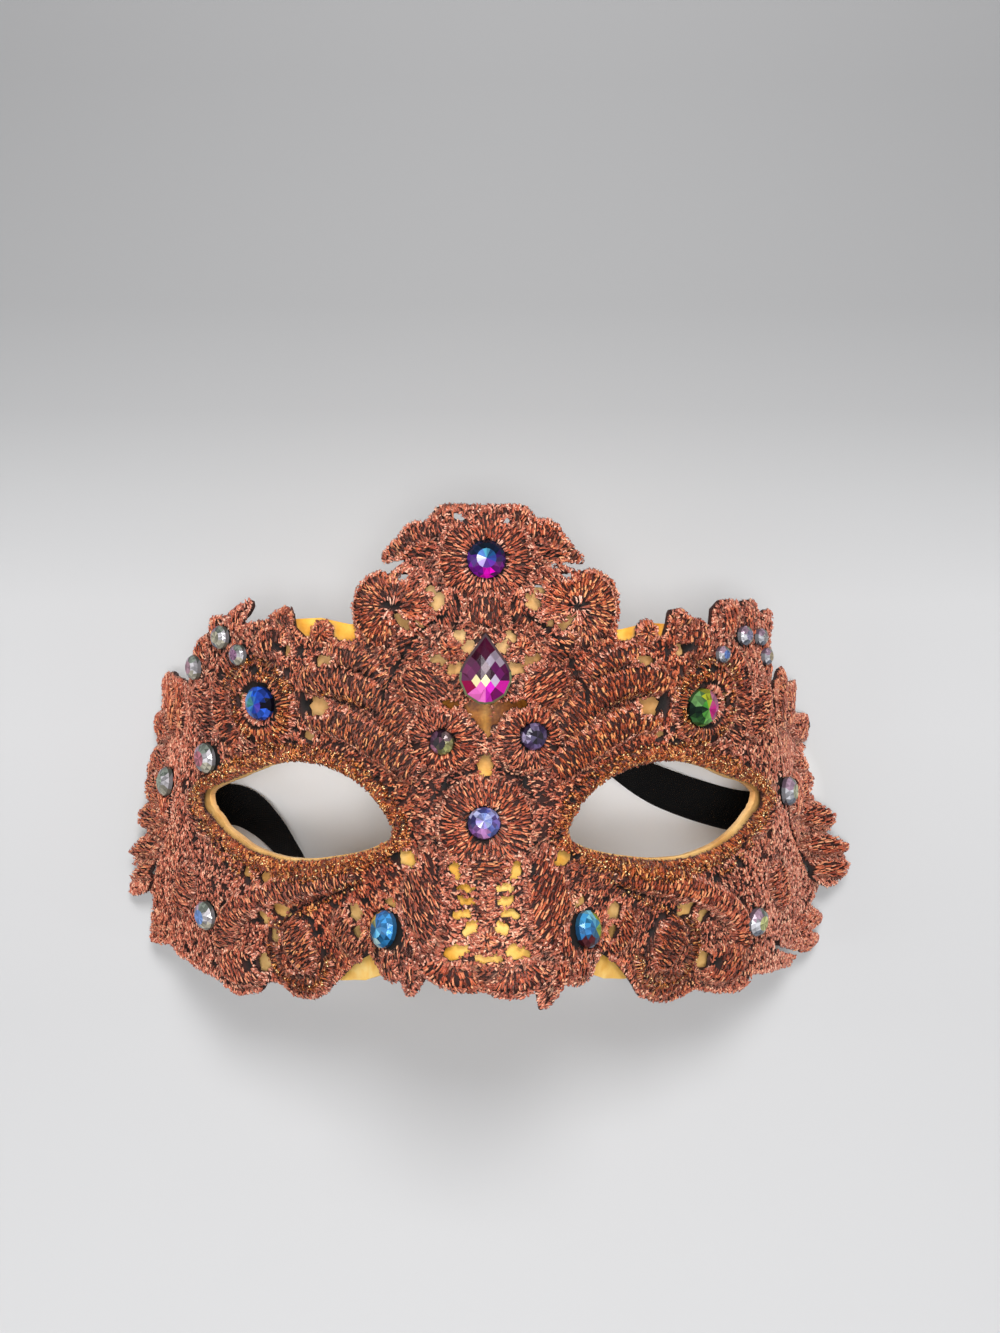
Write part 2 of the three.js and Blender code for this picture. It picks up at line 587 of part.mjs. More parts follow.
add("mask_base", maskBase(), GOLD_PAINT);
add("front_lace", frontLace(), ROSE_LACE);
add("left_wing_lace", wingLace("left"), ROSE_LACE);
add("right_wing_lace", wingLace("right"), ROSE_LACE);
for (const [name, u, v, radius] of STONES) {
  const mesh = add(name, stoneGeometry(radius), STONE_GLASS[name] ?? CRYSTAL);
  mesh.applyMatrix4(seatMatrix(u, v, SEAT_HEIGHT));
}
const teardrop = add("teardrop_stone", teardropGeometry(), PINK_GLASS);
teardrop.applyMatrix4(seatMatrix(TEARDROP.u, TEARDROP.v, SEAT_HEIGHT + 1.4));
add("strap", strapGeometry(), BLACK_ELASTIC);

export default mask;
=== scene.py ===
"""A lace Venetian half mask, lying face up: the finish of every piece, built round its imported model."""
import json
import math

import bpy
import numpy as np
from mathutils import Matrix, Vector

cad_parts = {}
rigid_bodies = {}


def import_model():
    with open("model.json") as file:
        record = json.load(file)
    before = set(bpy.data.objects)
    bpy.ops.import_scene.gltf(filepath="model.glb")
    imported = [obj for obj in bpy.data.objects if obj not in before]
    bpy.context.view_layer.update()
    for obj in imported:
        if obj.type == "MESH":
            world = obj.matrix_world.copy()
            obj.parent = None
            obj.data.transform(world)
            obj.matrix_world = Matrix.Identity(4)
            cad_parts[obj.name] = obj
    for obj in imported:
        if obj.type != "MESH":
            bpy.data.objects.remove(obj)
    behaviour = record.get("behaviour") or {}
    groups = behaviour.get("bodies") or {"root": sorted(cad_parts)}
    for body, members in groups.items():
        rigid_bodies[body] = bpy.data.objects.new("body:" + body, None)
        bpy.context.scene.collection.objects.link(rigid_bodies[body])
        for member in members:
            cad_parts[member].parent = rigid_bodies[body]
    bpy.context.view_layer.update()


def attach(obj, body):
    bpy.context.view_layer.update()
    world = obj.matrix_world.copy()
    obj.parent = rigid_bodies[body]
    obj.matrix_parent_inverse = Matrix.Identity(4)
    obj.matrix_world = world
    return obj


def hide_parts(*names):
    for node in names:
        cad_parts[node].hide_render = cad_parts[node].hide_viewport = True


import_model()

# Driving dimensions, in millimetres. A place on the face is (u, v): u is the arc length round the
# face from its middle, v the height on the face, and w how far a point stands off the shell.
MM = 0.001
ARCS = [(76, math.radians(40)), (86, math.radians(58)), (160, math.radians(90))]
BROW_HEIGHT = 60.5
TEMPLE_PINCH = 3.5
MIDDLE_X = 2.36
MIDDLE_V = 5.16

# The shell and the layers of lace on it
SHELL_THICKNESS = 2.0
PAPER_THICKNESS = 1.3
SHELL_STEP = 1.4
SHELL_REACH = 108
SHELL_LOW = -44
SHELL_HIGH = 46
SHELL_TOP_DROP = {"left": 0, "right": 1.1}
LACE_UNDER = 0.5
LACE_REACH = 106
LACE_LOW = -50
LACE_HIGH = 59
WING_LOW = -34
WING_HIGH = 24
NET_THICKNESS = 0.7
NET_TOP = 1.15
NET_SINK = 0.4
NET_STEP = 0.7
PIT_DEPTH = 0.9
RELIEF = 1.4
LOW_RELIEF = 0.9
ROUNDING = 2.4
CREASE_WIDTH = 0.9
CREASE_DEPTH = 0.6
# CREASE_SHADE is painted shade that darkens the threads along the edges of motifs
CREASE_SHADE = 0.7
FLOOR_GAP = 0.3

# How far the lace bends out past the sides of the shell
FLARE_START = 90
WING_FLARE = {"left": 5, "right": 9}
CORNER_FLARE = {"left": 1.6, "right": 3}

# The seam, where a wing comes out from under the front lace. Near its lower end the wing laps over
# the front lace instead, and on the left the seam drops a little there.
SEAM_GAP = 0.7
SEAM_SHIFT = {"left": 1.3, "right": -1.6}
# SEAM_SHADOW is how far past a wing's inner edge its net is painted dark and left without stitches, as the
# shadow of the front lace
SEAM_SHADOW = {"left": 0.3, "right": 0.9}
SEAM_DROP = {"left": 2.6, "right": 0}
SEAM_DROP_START = 91
SEAM_DROP_RUN = 8
WING_OVERLAP = 2.4
WING_RISE_START = 93
WING_RISE_RUN = 6

# The eye holes: how far each one's inner corner is moved towards the nose, and the rolled rim
EYE_SHIFT = {"left": 0.4, "right": 2.6}
EYE_SHIFT_START = 17
EYE_SHIFT_RUN = 42
RIM_WIDTH = 2.8

# The stitches: their size, how far they stray, how many there are, and where each kind of them starts
# and ends along the face
THREAD_WIDTH = 0.29
THREAD_HEIGHT = 0.32
THREAD_SPACING = 0.37
LONGEST_STITCH = 1.25
SLACK = 0.19
SCALLOP_DEPTH = 0.1
SUNK_SHARE = 0.34
WING_SUNK_SHARE = 0.12
GROUND_STITCHES = 110000
WING_STITCHES = 80000
LOOPS_PER_AREA = 5
LOOP_REACH = 0.6
OPEN_NET = 0.55
SIDES_START = 60
UPRIGHT = math.radians(98)
FEATHER_LEAN = 16
MIDDLE_REACH = 14
BROW_REACH = 44

# Copper dust on the brows: how much of it, between which distances from the middle, and its fade
BROW_COPPER = 0.32
COPPER_FROM = 10
COPPER_TO = 54
COPPER_FADE = 8

# The underside of the stones, and the strap
SEAT_HEIGHT = 2.05
STRAP_WIDTH = 10.0
STRAP_THICKNESS = 0.8
STRAP_EDGE = 0.35
STRAP_GAP = 0.9
STRAP_STEPS = 260

random = np.random.default_rng(41)


# The form of the face
def smooth(t):
    """Rises from 0 to 1 while t does, with no corner at either end."""
    t = np.clip(t, 0, 1)
    return t * t * (3 - 2 * t)


def section(u):
    """x, z and the outward angle of the plain section at arc length u."""
    side = np.where(np.asarray(u) < 0, -1.0, 1.0)
    left = np.abs(u)
    angle = np.zeros_like(left)
    x = np.zeros_like(left)
    z = np.full_like(left, BROW_HEIGHT)
    for radius, until in ARCS:
        end = np.minimum(until, angle + left / radius)
        x = x + radius * (np.sin(end) - np.sin(angle))
        z = z - radius * (np.cos(angle) - np.cos(end))
        left = left - radius * (end - angle)
        angle = end
    return side * x, z, side * angle


def stand_out(u, v):
    """How far nose, forehead, cheeks, eye sockets and temples stand out from the plain section."""
    a = np.abs(u)
    down = smooth((10 - v) / 42)
    nose = (3 + 17 * down) * np.exp(-((a / (11 + 9 * down)) ** 2.4))
    forehead = np.where(v > 15, -((v - 15) ** 2) / 440, 0)
    cheek_fall = np.where(v < -12, -((v + 12) ** 2) / 220, 0)
    cheek = cheek_fall * smooth((a - 12) / 20) * (1 - 0.75 * smooth((a - 45) / 25))
    socket = -2.5 * np.exp(-(((a - 38) / 20) ** 2 + ((v + 2) / 15) ** 2))
    pinch = -TEMPLE_PINCH * smooth((a - 62) / 40) * smooth((v + 12) / 24)
    return nose + forehead + cheek + socket + pinch


def place(u, v, w):
    """Points in metres for places on the face; arrays in, one row of x, y, z each."""
    u, v, w = np.broadcast_arrays(np.asarray(u, float), v, w)
    x, z, angle = section(u)
    out = stand_out(u, v) + w
    return MM * np.stack(
        [x + out * np.sin(angle) - MIDDLE_X, v - MIDDLE_V, z + out * np.cos(angle)], -1
    )


def by_side(values, u):
    """The left value on the left of the face and the right one on its right."""
    return np.where(np.asarray(u) > 0, values["right"], values["left"])


# Flat patterns: functions of places, positive inside the pattern, in millimetres
def value_at(form, places):
    return form(places[:, 0], places[:, 1])


def unit(vectors):
    return vectors / np.linalg.norm(vectors, axis=1, keepdims=True)


def ellipse(u, v, along, across, turn=0):
    cos, sin = math.cos(math.radians(turn)), math.sin(math.radians(turn))

    def inside(a, b):
        x = (a - u) * cos + (b - v) * sin
        y = (b - v) * cos - (a - u) * sin
        return (1 - np.hypot(x / along, y / across)) * min(along, across)

    return inside


def disc(u, v, radius):
    return ellipse(u, v, radius, radius)


def distance_to_path(points, a, b):
    """The distance of places to a line through the points."""
    nearest = np.full(np.shape(a), np.inf)
    for (u0, v0), (u1, v1) in zip(points, points[1:]):
        du, dv = u1 - u0, v1 - v0
        t = np.clip(((a - u0) * du + (b - v0) * dv) / (du * du + dv * dv), 0, 1)
        nearest = np.minimum(nearest, np.hypot(a - u0 - t * du, b - v0 - t * dv))
    return nearest


def band(width, *points):
    """A strip of this width along a line through the points."""
    return lambda a, b: width / 2 - distance_to_path(points, a, b)


def area(points):
    """The inside of a closed outline."""
    closed = [*points, points[0]]

    def inside(a, b):
        within = np.zeros(np.shape(a), bool)
        for (u0, v0), (u1, v1) in zip(closed, closed[1:]):
            crosses = (v0 > b) != (v1 > b)
            rise = v1 - v0 if v1 != v0 else 1e-9
            within ^= crosses & (a < (u1 - u0) * (b - v0) / rise + u0)
        return np.where(within, 1, -1) * distance_to_path(closed, a, b)

    return inside


def curve_through(points, count, closed=False):
    """count points, evenly spaced, on a smooth curve through the given ones, and their parameters."""
    points = np.asarray(points, float)
    if closed:
        ring = np.vstack([points[-1:], points, points[:2]])
    else:
        ring = np.vstack([2 * points[0] - points[1], points, 2 * points[-1] - points[-2]])
    fine = 24
    spans = len(ring) - 3
    t = np.linspace(0, spans, spans * fine + 1)
    path = curve_at(ring, t)
    run = np.concatenate([[0], np.cumsum(np.linalg.norm(np.diff(path, axis=0), axis=1))])
    wanted = np.linspace(0, run[-1], count + 1 if closed else count)
    where = np.interp(wanted, run, t)[: count]
    return curve_at(ring, where), where


def curve_at(ring, t):
    """Points of the centripetal curve through ring[1:-1], at parameters t counted in spans."""
    span = np.minimum(t.astype(int), len(ring) - 4)
    weight = (t - span)[:, None]
    p0, p1, p2, p3 = (ring[span + i] for i in range(4))
    d0, d1, d2 = (
        np.maximum(np.linalg.norm(b - a, axis=1, keepdims=True), 1e-6) ** 0.5
        for a, b in ((p0, p1), (p1, p2), (p2, p3))
    )
    start = d1 * ((p1 - p0) / d0 - (p2 - p0) / (d0 + d1) + (p2 - p1) / d1)
    end = d1 * ((p2 - p1) / d1 - (p3 - p1) / (d1 + d2) + (p3 - p2) / d2)
    square, cube = weight**2, weight**3
    return (
        p1 + start * weight + (-3 * p1 + 3 * p2 - 2 * start - end) * square
        + (2 * p1 - 2 * p2 + start + end) * cube
    )


def hoop(u, v, radius, width):
    """A ring of this width round (u, v)."""
    return lambda a, b: width / 2 - np.abs(np.hypot(a - u, b - v) - radius)


def mirrored(form):
    return lambda u, v: form(np.abs(u), v)


def union(forms):
    return lambda u, v: np.max([form(u, v) for form in forms], axis=0)


# Outlines given for the right side and mirrored: eye hole, shell and the seam between the two layers
EYE = [
    (69.3, -4.8), (57, 0.8), (45, 5), (36, 5.4), (27.5, 2.7), (21, -3), (18.4, -7.9),
    (22.5, -11), (33, -14.2), (43.5, -15.6), (55, -14), (65, -9.4),
]
SHELL = [
    (-1, 43.3), (12, 42.8), (20, 38), (27, 33.9), (35, 35.2), (44, 34.6), (58, 30), (68, 25.5),
    (78, 19.5), (90, 15), (99, 9), (108, 5), (109, -10), (108, -27), (97, -36), (85, -40), (70, -42),
    (55, -42.4), (41, -42), (30, -40), (24, -38.1), (19, -35), (14, -32), (8, -30.4), (-1, -30.2),
]
SEAM = [
    (80, 37), (77, 30), (74.6, 24), (73.6, 20), (76.7, 11), (79.2, 4), (80, -3), (84.8, -15.3), (91, -21),
    (98.4, -28.8), (110, -33),
]

# The lace's outlines, which differ from side to side and count u outwards on both: the layer over
# the face, from the crest round to the nose, and the layer that comes out from behind the seam
FRONT_LACE = {
    "left": [
        (-1, 58), (8, 58.2), (10, 57.4), (11.9, 54.6), (14.4, 54.8), (16.3, 53.8), (17.5, 51.7),
        (20, 49.5), (20.9, 47.5), (20.2, 46.4), (18.8, 46.9), (16.7, 47.3), (14.8, 46.9), (16.7, 46.1),
        (17.6, 45.2), (19.1, 44.4), (21, 44.9), (23.6, 44.1), (25.8, 42.1), (26.9, 38), (26.7, 35.5),
        (25.8, 32.4), (26.6, 30.8), (29.8, 30.9), (31, 31.6), (31, 33.6), (32.4, 34.9), (34.4, 34.8),
        (35.9, 33.3), (35.9, 31.6), (37.6, 31.2), (40.2, 33.2), (40.6, 36.2), (41.6, 37), (42.7, 37.3),
        (44.8, 36.2), (46.5, 35.5), (47.7, 34.3), (50, 34.2), (52.4, 33.5), (54.8, 32.6), (53.6, 34.4),
        (52.2, 36.3), (51.6, 37.6), (52.6, 38.6), (53.8, 38.1), (56, 36.8), (57.6, 35.4), (58.4, 34.3),
        (60.8, 34.7), (63.4, 34.4), (64.5, 33.4), (65, 31.2), (67.4, 30), (70, 29), (72, 27),
        (73.4, 24.6), (75, 22.6), (86, 14), (92, -4), (98, -18), (105, -29), (99.5, -32.2), (97.8, -32.8),
        (99.2, -36.9), (97.3, -38.9), (101.2, -43.2), (98.9, -44.1), (89.6, -42.6), (83.9, -44.1),
        (79, -43.8), (75.9, -44.4), (67.5, -44.8), (60.3, -47.8), (53.9, -46.1), (52, -43.8), (48.6, -43),
        (44.5, -45.6), (39.2, -45.4), (37.9, -44.7), (35.6, -43.7), (33, -41), (30, -38.4), (27, -35.3),
        (21, -31), (18.4, -34), (16, -35), (14.3, -33.5), (12.6, -36.4), (11.2, -35.4), (9.4, -31.8),
        (7, -33), (4.7, -33.8), (2, -33.6), (-1, -33.2),
    ],
    "right": [
        (-1, 58), (7.4, 58), (8.8, 57.4), (10.4, 55.2), (13.2, 55.2), (14.7, 54.2), (16.4, 51.2),
        (18.2, 49.2), (19.6, 47.9), (19.6, 46.6), (18.4, 46.6), (16.2, 47), (14.8, 46.7), (16.4, 45.8),
        (17.8, 44.9), (19.6, 45), (22, 45.3), (24, 44.7), (26.5, 42.6), (27.6, 39), (27.2, 35.5),
        (26.4, 32.4), (27, 30.8), (29.8, 30.9), (31, 31.6), (31, 33.6), (32.4, 34.9), (34.4, 34.8),
        (35.9, 33.3), (35.9, 31.6), (37.6, 31.2), (38.6, 33.9), (39.3, 36.7), (41.7, 37), (44.7, 34.7),
        (47.5, 34.6), (50.2, 32.4), (51.1, 36.5), (53.8, 38.3), (57.1, 38.3), (59.4, 37.8), (60.2, 35.2),
        (61.2, 37.8), (65.7, 38), (67.1, 36), (67.8, 31.4), (69, 34.9), (71.8, 35.5), (74.8, 34.5),
        (74.4, 31.4), (72.6, 29.2), (72.6, 26), (73.2, 23), (84, 14), (90, -4), (96, -18), (104, -28.6),
        (100.6, -33), (98.1, -35.7), (103.7, -40), (104.1, -41.6), (98, -42), (102.7, -44.3),
        (102.7, -46.7), (98.7, -47.3), (94, -45.8), (80, -41.4), (80.2, -42.8), (93.6, -47.4),
        (90, -48.6), (83.5, -47.6), (80.1, -47.2), (72, -46), (68, -45.1), (66.1, -47.5), (62.8, -48.2),
        (57, -47.4), (50.7, -45.5), (45.6, -47.5), (39.8, -46.7), (34.8, -44.4), (32.5, -41.5),
        (30, -38.4), (27, -35.3), (21, -31), (19.5, -34.4), (18.5, -35.6), (15.5, -35.6), (12.6, -34),
        (11.4, -35.6), (10.2, -37.3), (8.3, -38.1), (7.8, -35), (7.5, -33.6), (5.6, -35), (2.6, -34.9),
        (-1, -33.4),
    ],
}
WING_LACE = {
    "left": [
        (73, 14), (76, 19), (80, 19.6), (86, 19.4), (93, 20), (96.5, 19), (99, 17.3), (99.4, 11.9),
        (103.3, 8.6), (101.4, 4), (100.2, 0.4), (104.4, -3.1), (103.6, -5.6), (101, -7), (98.2, -8.6),
        (98.3, -11.7), (99.9, -13.3), (98.9, -15.9), (96.8, -17.4), (98.6, -20), (102.3, -23.3),
        (101.6, -24.9), (98.5, -25.5), (100.6, -27.6), (103.4, -30.2), (104.4, -33), (102, -33.4),
        (99, -32.2), (95.8, -31), (88, -20), (76, -6),
    ],
    "right": [
        (73, 14), (75.2, 19.4), (78, 19.6), (80.4, 21.6), (81.6, 21.8), (83.4, 20), (87.5, 17.6),
        (95.4, 17.5), (96, 15), (93.8, 10.4), (99, 9.4), (103, 8.6), (107, 6.6), (103.2, 3.8),
        (93.9, 0.8), (98.8, -4), (99, -5.4), (97.1, -6.8), (94.3, -8.3), (98, -11), (101.5, -14.2),
        (100, -17), (98.2, -18.6), (102.7, -21.8), (102.5, -24), (104.2, -26.4), (102.2, -28),
        (102.3, -29.7), (100.5, -31), (96, -33), (90, -28), (82, -14), (76, -6),
    ],
}
eye_outline = curve_through(EYE, 40, closed=True)[0]
eye_area = area([tuple(point) for point in eye_outline])


def eye_shift(a, shift):
    """How far the eye hole is moved inwards, at a distance a from the middle of the face."""
    return shift * (1 - smooth((a - EYE_SHIFT_START) / EYE_SHIFT_RUN))


def eye_hole(u, v):
    a = np.abs(u)
    return eye_area(a + eye_shift(a, by_side(EYE_SHIFT, u)), v)


def eye_line(outline, side):
    """An eye outline moved to where it lies on one side, and the way out of the hole at each point."""
    line = outline.copy()
    line[:, 0] -= eye_shift(line[:, 0], EYE_SHIFT["right" if side > 0 else "left"])
    return line, unit(line - line.mean(axis=0))


# Glass stones: name, place, radius
STONES = [
    ("crest_stone", 0.2, 47.4, 3.8),
    ("bridge_stone", -0.3, -3.8, 3.2),
    ("left_flower_stone", -8, 11.5, 2.5),
    ("right_flower_stone", 9, 12.6, 2.75),
    ("left_temple_stone", -48.3, 17.2, 3.6),
    ("right_temple_stone", 47, 16.3, 4),
    ("left_cheek_stone", -17.4, -24.9, 3.7),
    ("right_cheek_stone", 17.5, -25.1, 3.7),
    ("left_side_stone_1", -54.4, 26.9, 2.2),
    ("left_side_stone_2", -60.2, 30.2, 2.5),
    ("left_side_stone_3", -70.3, 23.1, 2.7),
    ("left_side_stone_4", -66.1, 3.9, 3.3),
    ("left_side_stone_5", -86.7, -4.2, 3.3),
    ("left_side_stone_6", -67.4, -30.9, 3.2),
    ("right_side_stone_1", 52.7, 27, 1.8),
    ("right_side_stone_2", 60.1, 30.5, 2.1),
    ("right_side_stone_3", 66.2, 29.8, 1.9),
    ("right_side_stone_4", 68.6, 25.5, 1.9),
    ("right_side_stone_5", 80.6, -5.9, 3.3),
    ("right_side_stone_6", 66.8, -32.8, 3.2),
]
TEMPLE_FLOWER = (48.8, 16.7)
TEARDROP = {"u": 0, "v": 24.4, "radius": 4.9, "point": 8.3}

# Where stones sit: the lace is flat under them, and painted dark as shade in a narrow ring round them
TEARDROP_SEAT = {"radius": 4.3, "point": [(-3.6, 26.6), (3.6, 26.6), (0, 31.4)]}
SEAT_INSET = 0.3
SEAT_SLOPE = 0.9
SEAT_SHADOW = 0.35
seats = union(
    [
        *(disc(u, v, radius - SEAT_INSET) for _, u, v, radius in STONES),
        disc(TEARDROP["u"], TEARDROP["v"], TEARDROP_SEAT["radius"]),
        area(TEARDROP_SEAT["point"]),
    ]
)


# Stitches. A set of them is an array of rows: start u, v, end u, v and tint, where tint runs from 0,
# the pale loops of an edge, past the rose of laid thread to 1, where it is dusted with copper.
ROSE = 0.4


def stitch_rows(start, end, tint=ROSE):
    return np.column_stack([start, end, np.full(len(start), float(tint))])


def middles(rows):
    return (rows[:, 0:2] + rows[:, 2:4]) / 2


def laid(start, end, tint):
    """Threads from start to end, each cut into stitches short enough to lie as real ones do."""
    length = np.linalg.norm(end - start, axis=1)
    pieces = np.maximum(1, np.round(length / LONGEST_STITCH)).astype(int)
    rows = []
    for count in np.unique(pieces):
        first, last = start[pieces == count], end[pieces == count]
        cuts = np.linspace(0, 1, count + 1) + random.normal(0, 0.16 / count, (len(first), count + 1))
        cuts[:, 0] = random.normal(0, 0.03, len(first))
        cuts[:, -1] = 1 + random.normal(0, 0.03, len(first))
        for i in range(count):
            low = first + (cuts[:, i] - 0.14 / count)[:, None] * (last - first)
            high = first + (cuts[:, i + 1] + 0.14 / count)[:, None] * (last - first)
            rows.append(stitch_rows(low, high, tint))
    rows = np.vstack(rows)
    rows[:, :4] += random.normal(0, SLACK, (len(rows), 4))
    return rows


def rays(u, v, inner, outer, tint=ROSE, start=0, end=360, scallops=0):
    """Stitches that run out from a centre, in two rings where one would leave the outside thin."""
    rows = []
    middle = (inner + outer) / 2
    rings = [(inner, outer)]
    if outer >= 2.2 * inner + 1.5:
        rings = [(inner, middle * 1.1), (middle * 0.85, outer)]
    for near, far in rings:
        count = max(5, int(math.radians(end - start) * (0.4 * near + 0.6 * far) / THREAD_SPACING))
        share = (np.arange(count) + random.uniform(0.2, 0.8, count)) / count
        angle = np.radians(start + share * (end - start))
        edge = far * (1 + 0.04 * random.normal(0, 1, count))
        if scallops and far == outer:
            edge = edge * (1 - SCALLOP_DEPTH * np.abs(np.cos(angle * scallops / 2)) ** 3)
        direction = np.column_stack([np.cos(angle), np.sin(angle)])
        centre = np.array([u, v])
        rows.append(laid(centre + near * direction, centre + edge[:, None] * direction, tint))
    return np.vstack(rows)


def across(width, points, tint=ROSE, lean=0, closed=False):
    """Satin stitches across a band that follows a path."""
    straight = np.asarray(points, float)
    length = np.linalg.norm(np.diff(straight, axis=0), axis=1).sum()
    path, _ = curve_through(points, max(4, int(1.04 * length / THREAD_SPACING)), closed)
    along = np.gradient(path, axis=0)
    angle = np.arctan2(along[:, 1], along[:, 0]) + math.pi / 2 + math.radians(lean)
    angle += random.normal(0, 0.1, len(path))
    reach = width / 2 / math.cos(math.radians(lean)) * (1 + 0.07 * random.normal(0, 1, len(path)))
    arm = np.column_stack([np.cos(angle), np.sin(angle)]) * reach[:, None]
    return laid(path - arm, path + arm, tint)


def filled(form, u, v, reach, lean, tint=ROSE):
    """Parallel stitches at an angle, over the part of a form round (u, v)."""
    direction = np.array([math.cos(math.radians(lean)), math.sin(math.radians(lean))])
    sideways = np.array([-direction[1], direction[0]])
    lines = np.arange(-reach, reach, THREAD_SPACING)
    steps = np.linspace(-reach, reach, 81)
    points = np.array([u, v]) + lines[:, None, None] * sideways + steps[None, :, None] * direction
    inside = form(points[..., 0], points[..., 1]) > 0
    kept = inside.sum(axis=1) > 2
    first = inside.argmax(axis=1)
    last = inside.shape[1] - 1 - inside[:, ::-1].argmax(axis=1)
    index = np.arange(len(lines))
    start, end = points[index, first][kept], points[index, last][kept]
    return laid(start, end, tint)


def slope_of(form, places):
    """The direction and steepness in which a form grows, at each place."""
    u, v = places[:, 0], places[:, 1]
    nudge = 0.05
    return np.column_stack([
        form(u + nudge, v) - form(u - nudge, v), form(u, v + nudge) - form(u, v - nudge),
    ]) / (2 * nudge)


def edging(form, low, high):
    """Short pale loops that stand across the outline of a form, between two corners of its box."""
    count = int(LOOPS_PER_AREA * (high[0] - low[0]) * (high[1] - low[1]))
    spots = random.uniform(low, high, (count, 2))
    spots = spots[np.abs(value_at(form, spots) - 0.35) < 0.45]
    slope = slope_of(form, spots)
    angle = np.arctan2(slope[:, 1], slope[:, 0]) + random.normal(0, 0.6, len(spots))
    arm = np.column_stack([np.cos(angle), np.sin(angle)]) * random.uniform(0.3, 0.55, (len(spots), 1))
    return stitch_rows(spots - arm, spots + arm, 0)


def flower(u, v, inner, outer, rise, scallops=0, tint=ROSE):
    """A round motif: a tuft in its middle and rays from there to its edge."""
    tuft = rays(u, v, 0.3 * inner, 1.05 * inner, 0)
    return disc(u, v, outer), rise, np.vstack([tuft, rays(u, v, inner, outer, tint, scallops=scallops)])


def fan(u, v, inner, outer, start, end, rise):
    """Part of a flower, between two angles."""
    middle = math.radians((start + end) / 2)
    half = math.radians((end - start) / 2)

    def inside(a, b):
        radius = np.hypot(a - u, b - v)
        turn = np.abs((np.arctan2(b - v, a - u) - middle + math.pi) % (2 * math.pi) - math.pi)
        return np.minimum(np.minimum(radius - inner, outer - radius), (half - turn) * radius)

    return inside, rise, rays(u, v, inner, outer, start=start, end=end)


def stripe(width, points, rise, tint=ROSE, lean=0):
    """A band of satin stitches along a curve."""
    fine, _ = curve_through(points, 12 * len(points))
    ends = round(0.4 * width / math.dist(fine[0], fine[1]))
    path = [tuple(point) for point in fine[ends : len(fine) - ends : 3]]
    return band(width, *path), rise, across(width, points, tint, lean)


def leaf(u, v, along, over, turn, rise, lean, tint=ROSE):
    """An ellipse filled with stitches that lie at the angle lean."""
    form = ellipse(u, v, along, over, turn)
    return form, rise, filled(form, u, v, max(along, over) + 1, lean, tint)


# Embroidered motifs. Each is its form, how high it stands as a share of the relief, and its rows.
# A later motif lies over an earlier one.
def middle_motifs():
    return [
        stripe(4.2, [(-9, 54.7), (-6.6, 55.8), (0, 55.6), (6.6, 55.8), (9, 54.7)], 0.7),
        flower(0.1, 47.3, 4.5, 9.6, 0.8),
        leaf(0, 37.3, 4.6, 4, 0, 0.9, 88),
        flower(0.1, -3.8, 3.6, 9, 1, scallops=12),
        leaf(0, -11.2, 3.8, 2.3, 0, 0.7, 3, tint=0.75),
        stripe(2.4, [(0, -13.4), (0, -16.4), (0, -19.8)], 0.6),
        flower(0, -23.5, 0.3, 2, 0.6),
        fan(-4.4, -24.6, 3.4, 8.8, 214, 300, 0.9),
        fan(4.2, -25.2, 3.4, 9.2, 240, 326, 0.9),
    ]


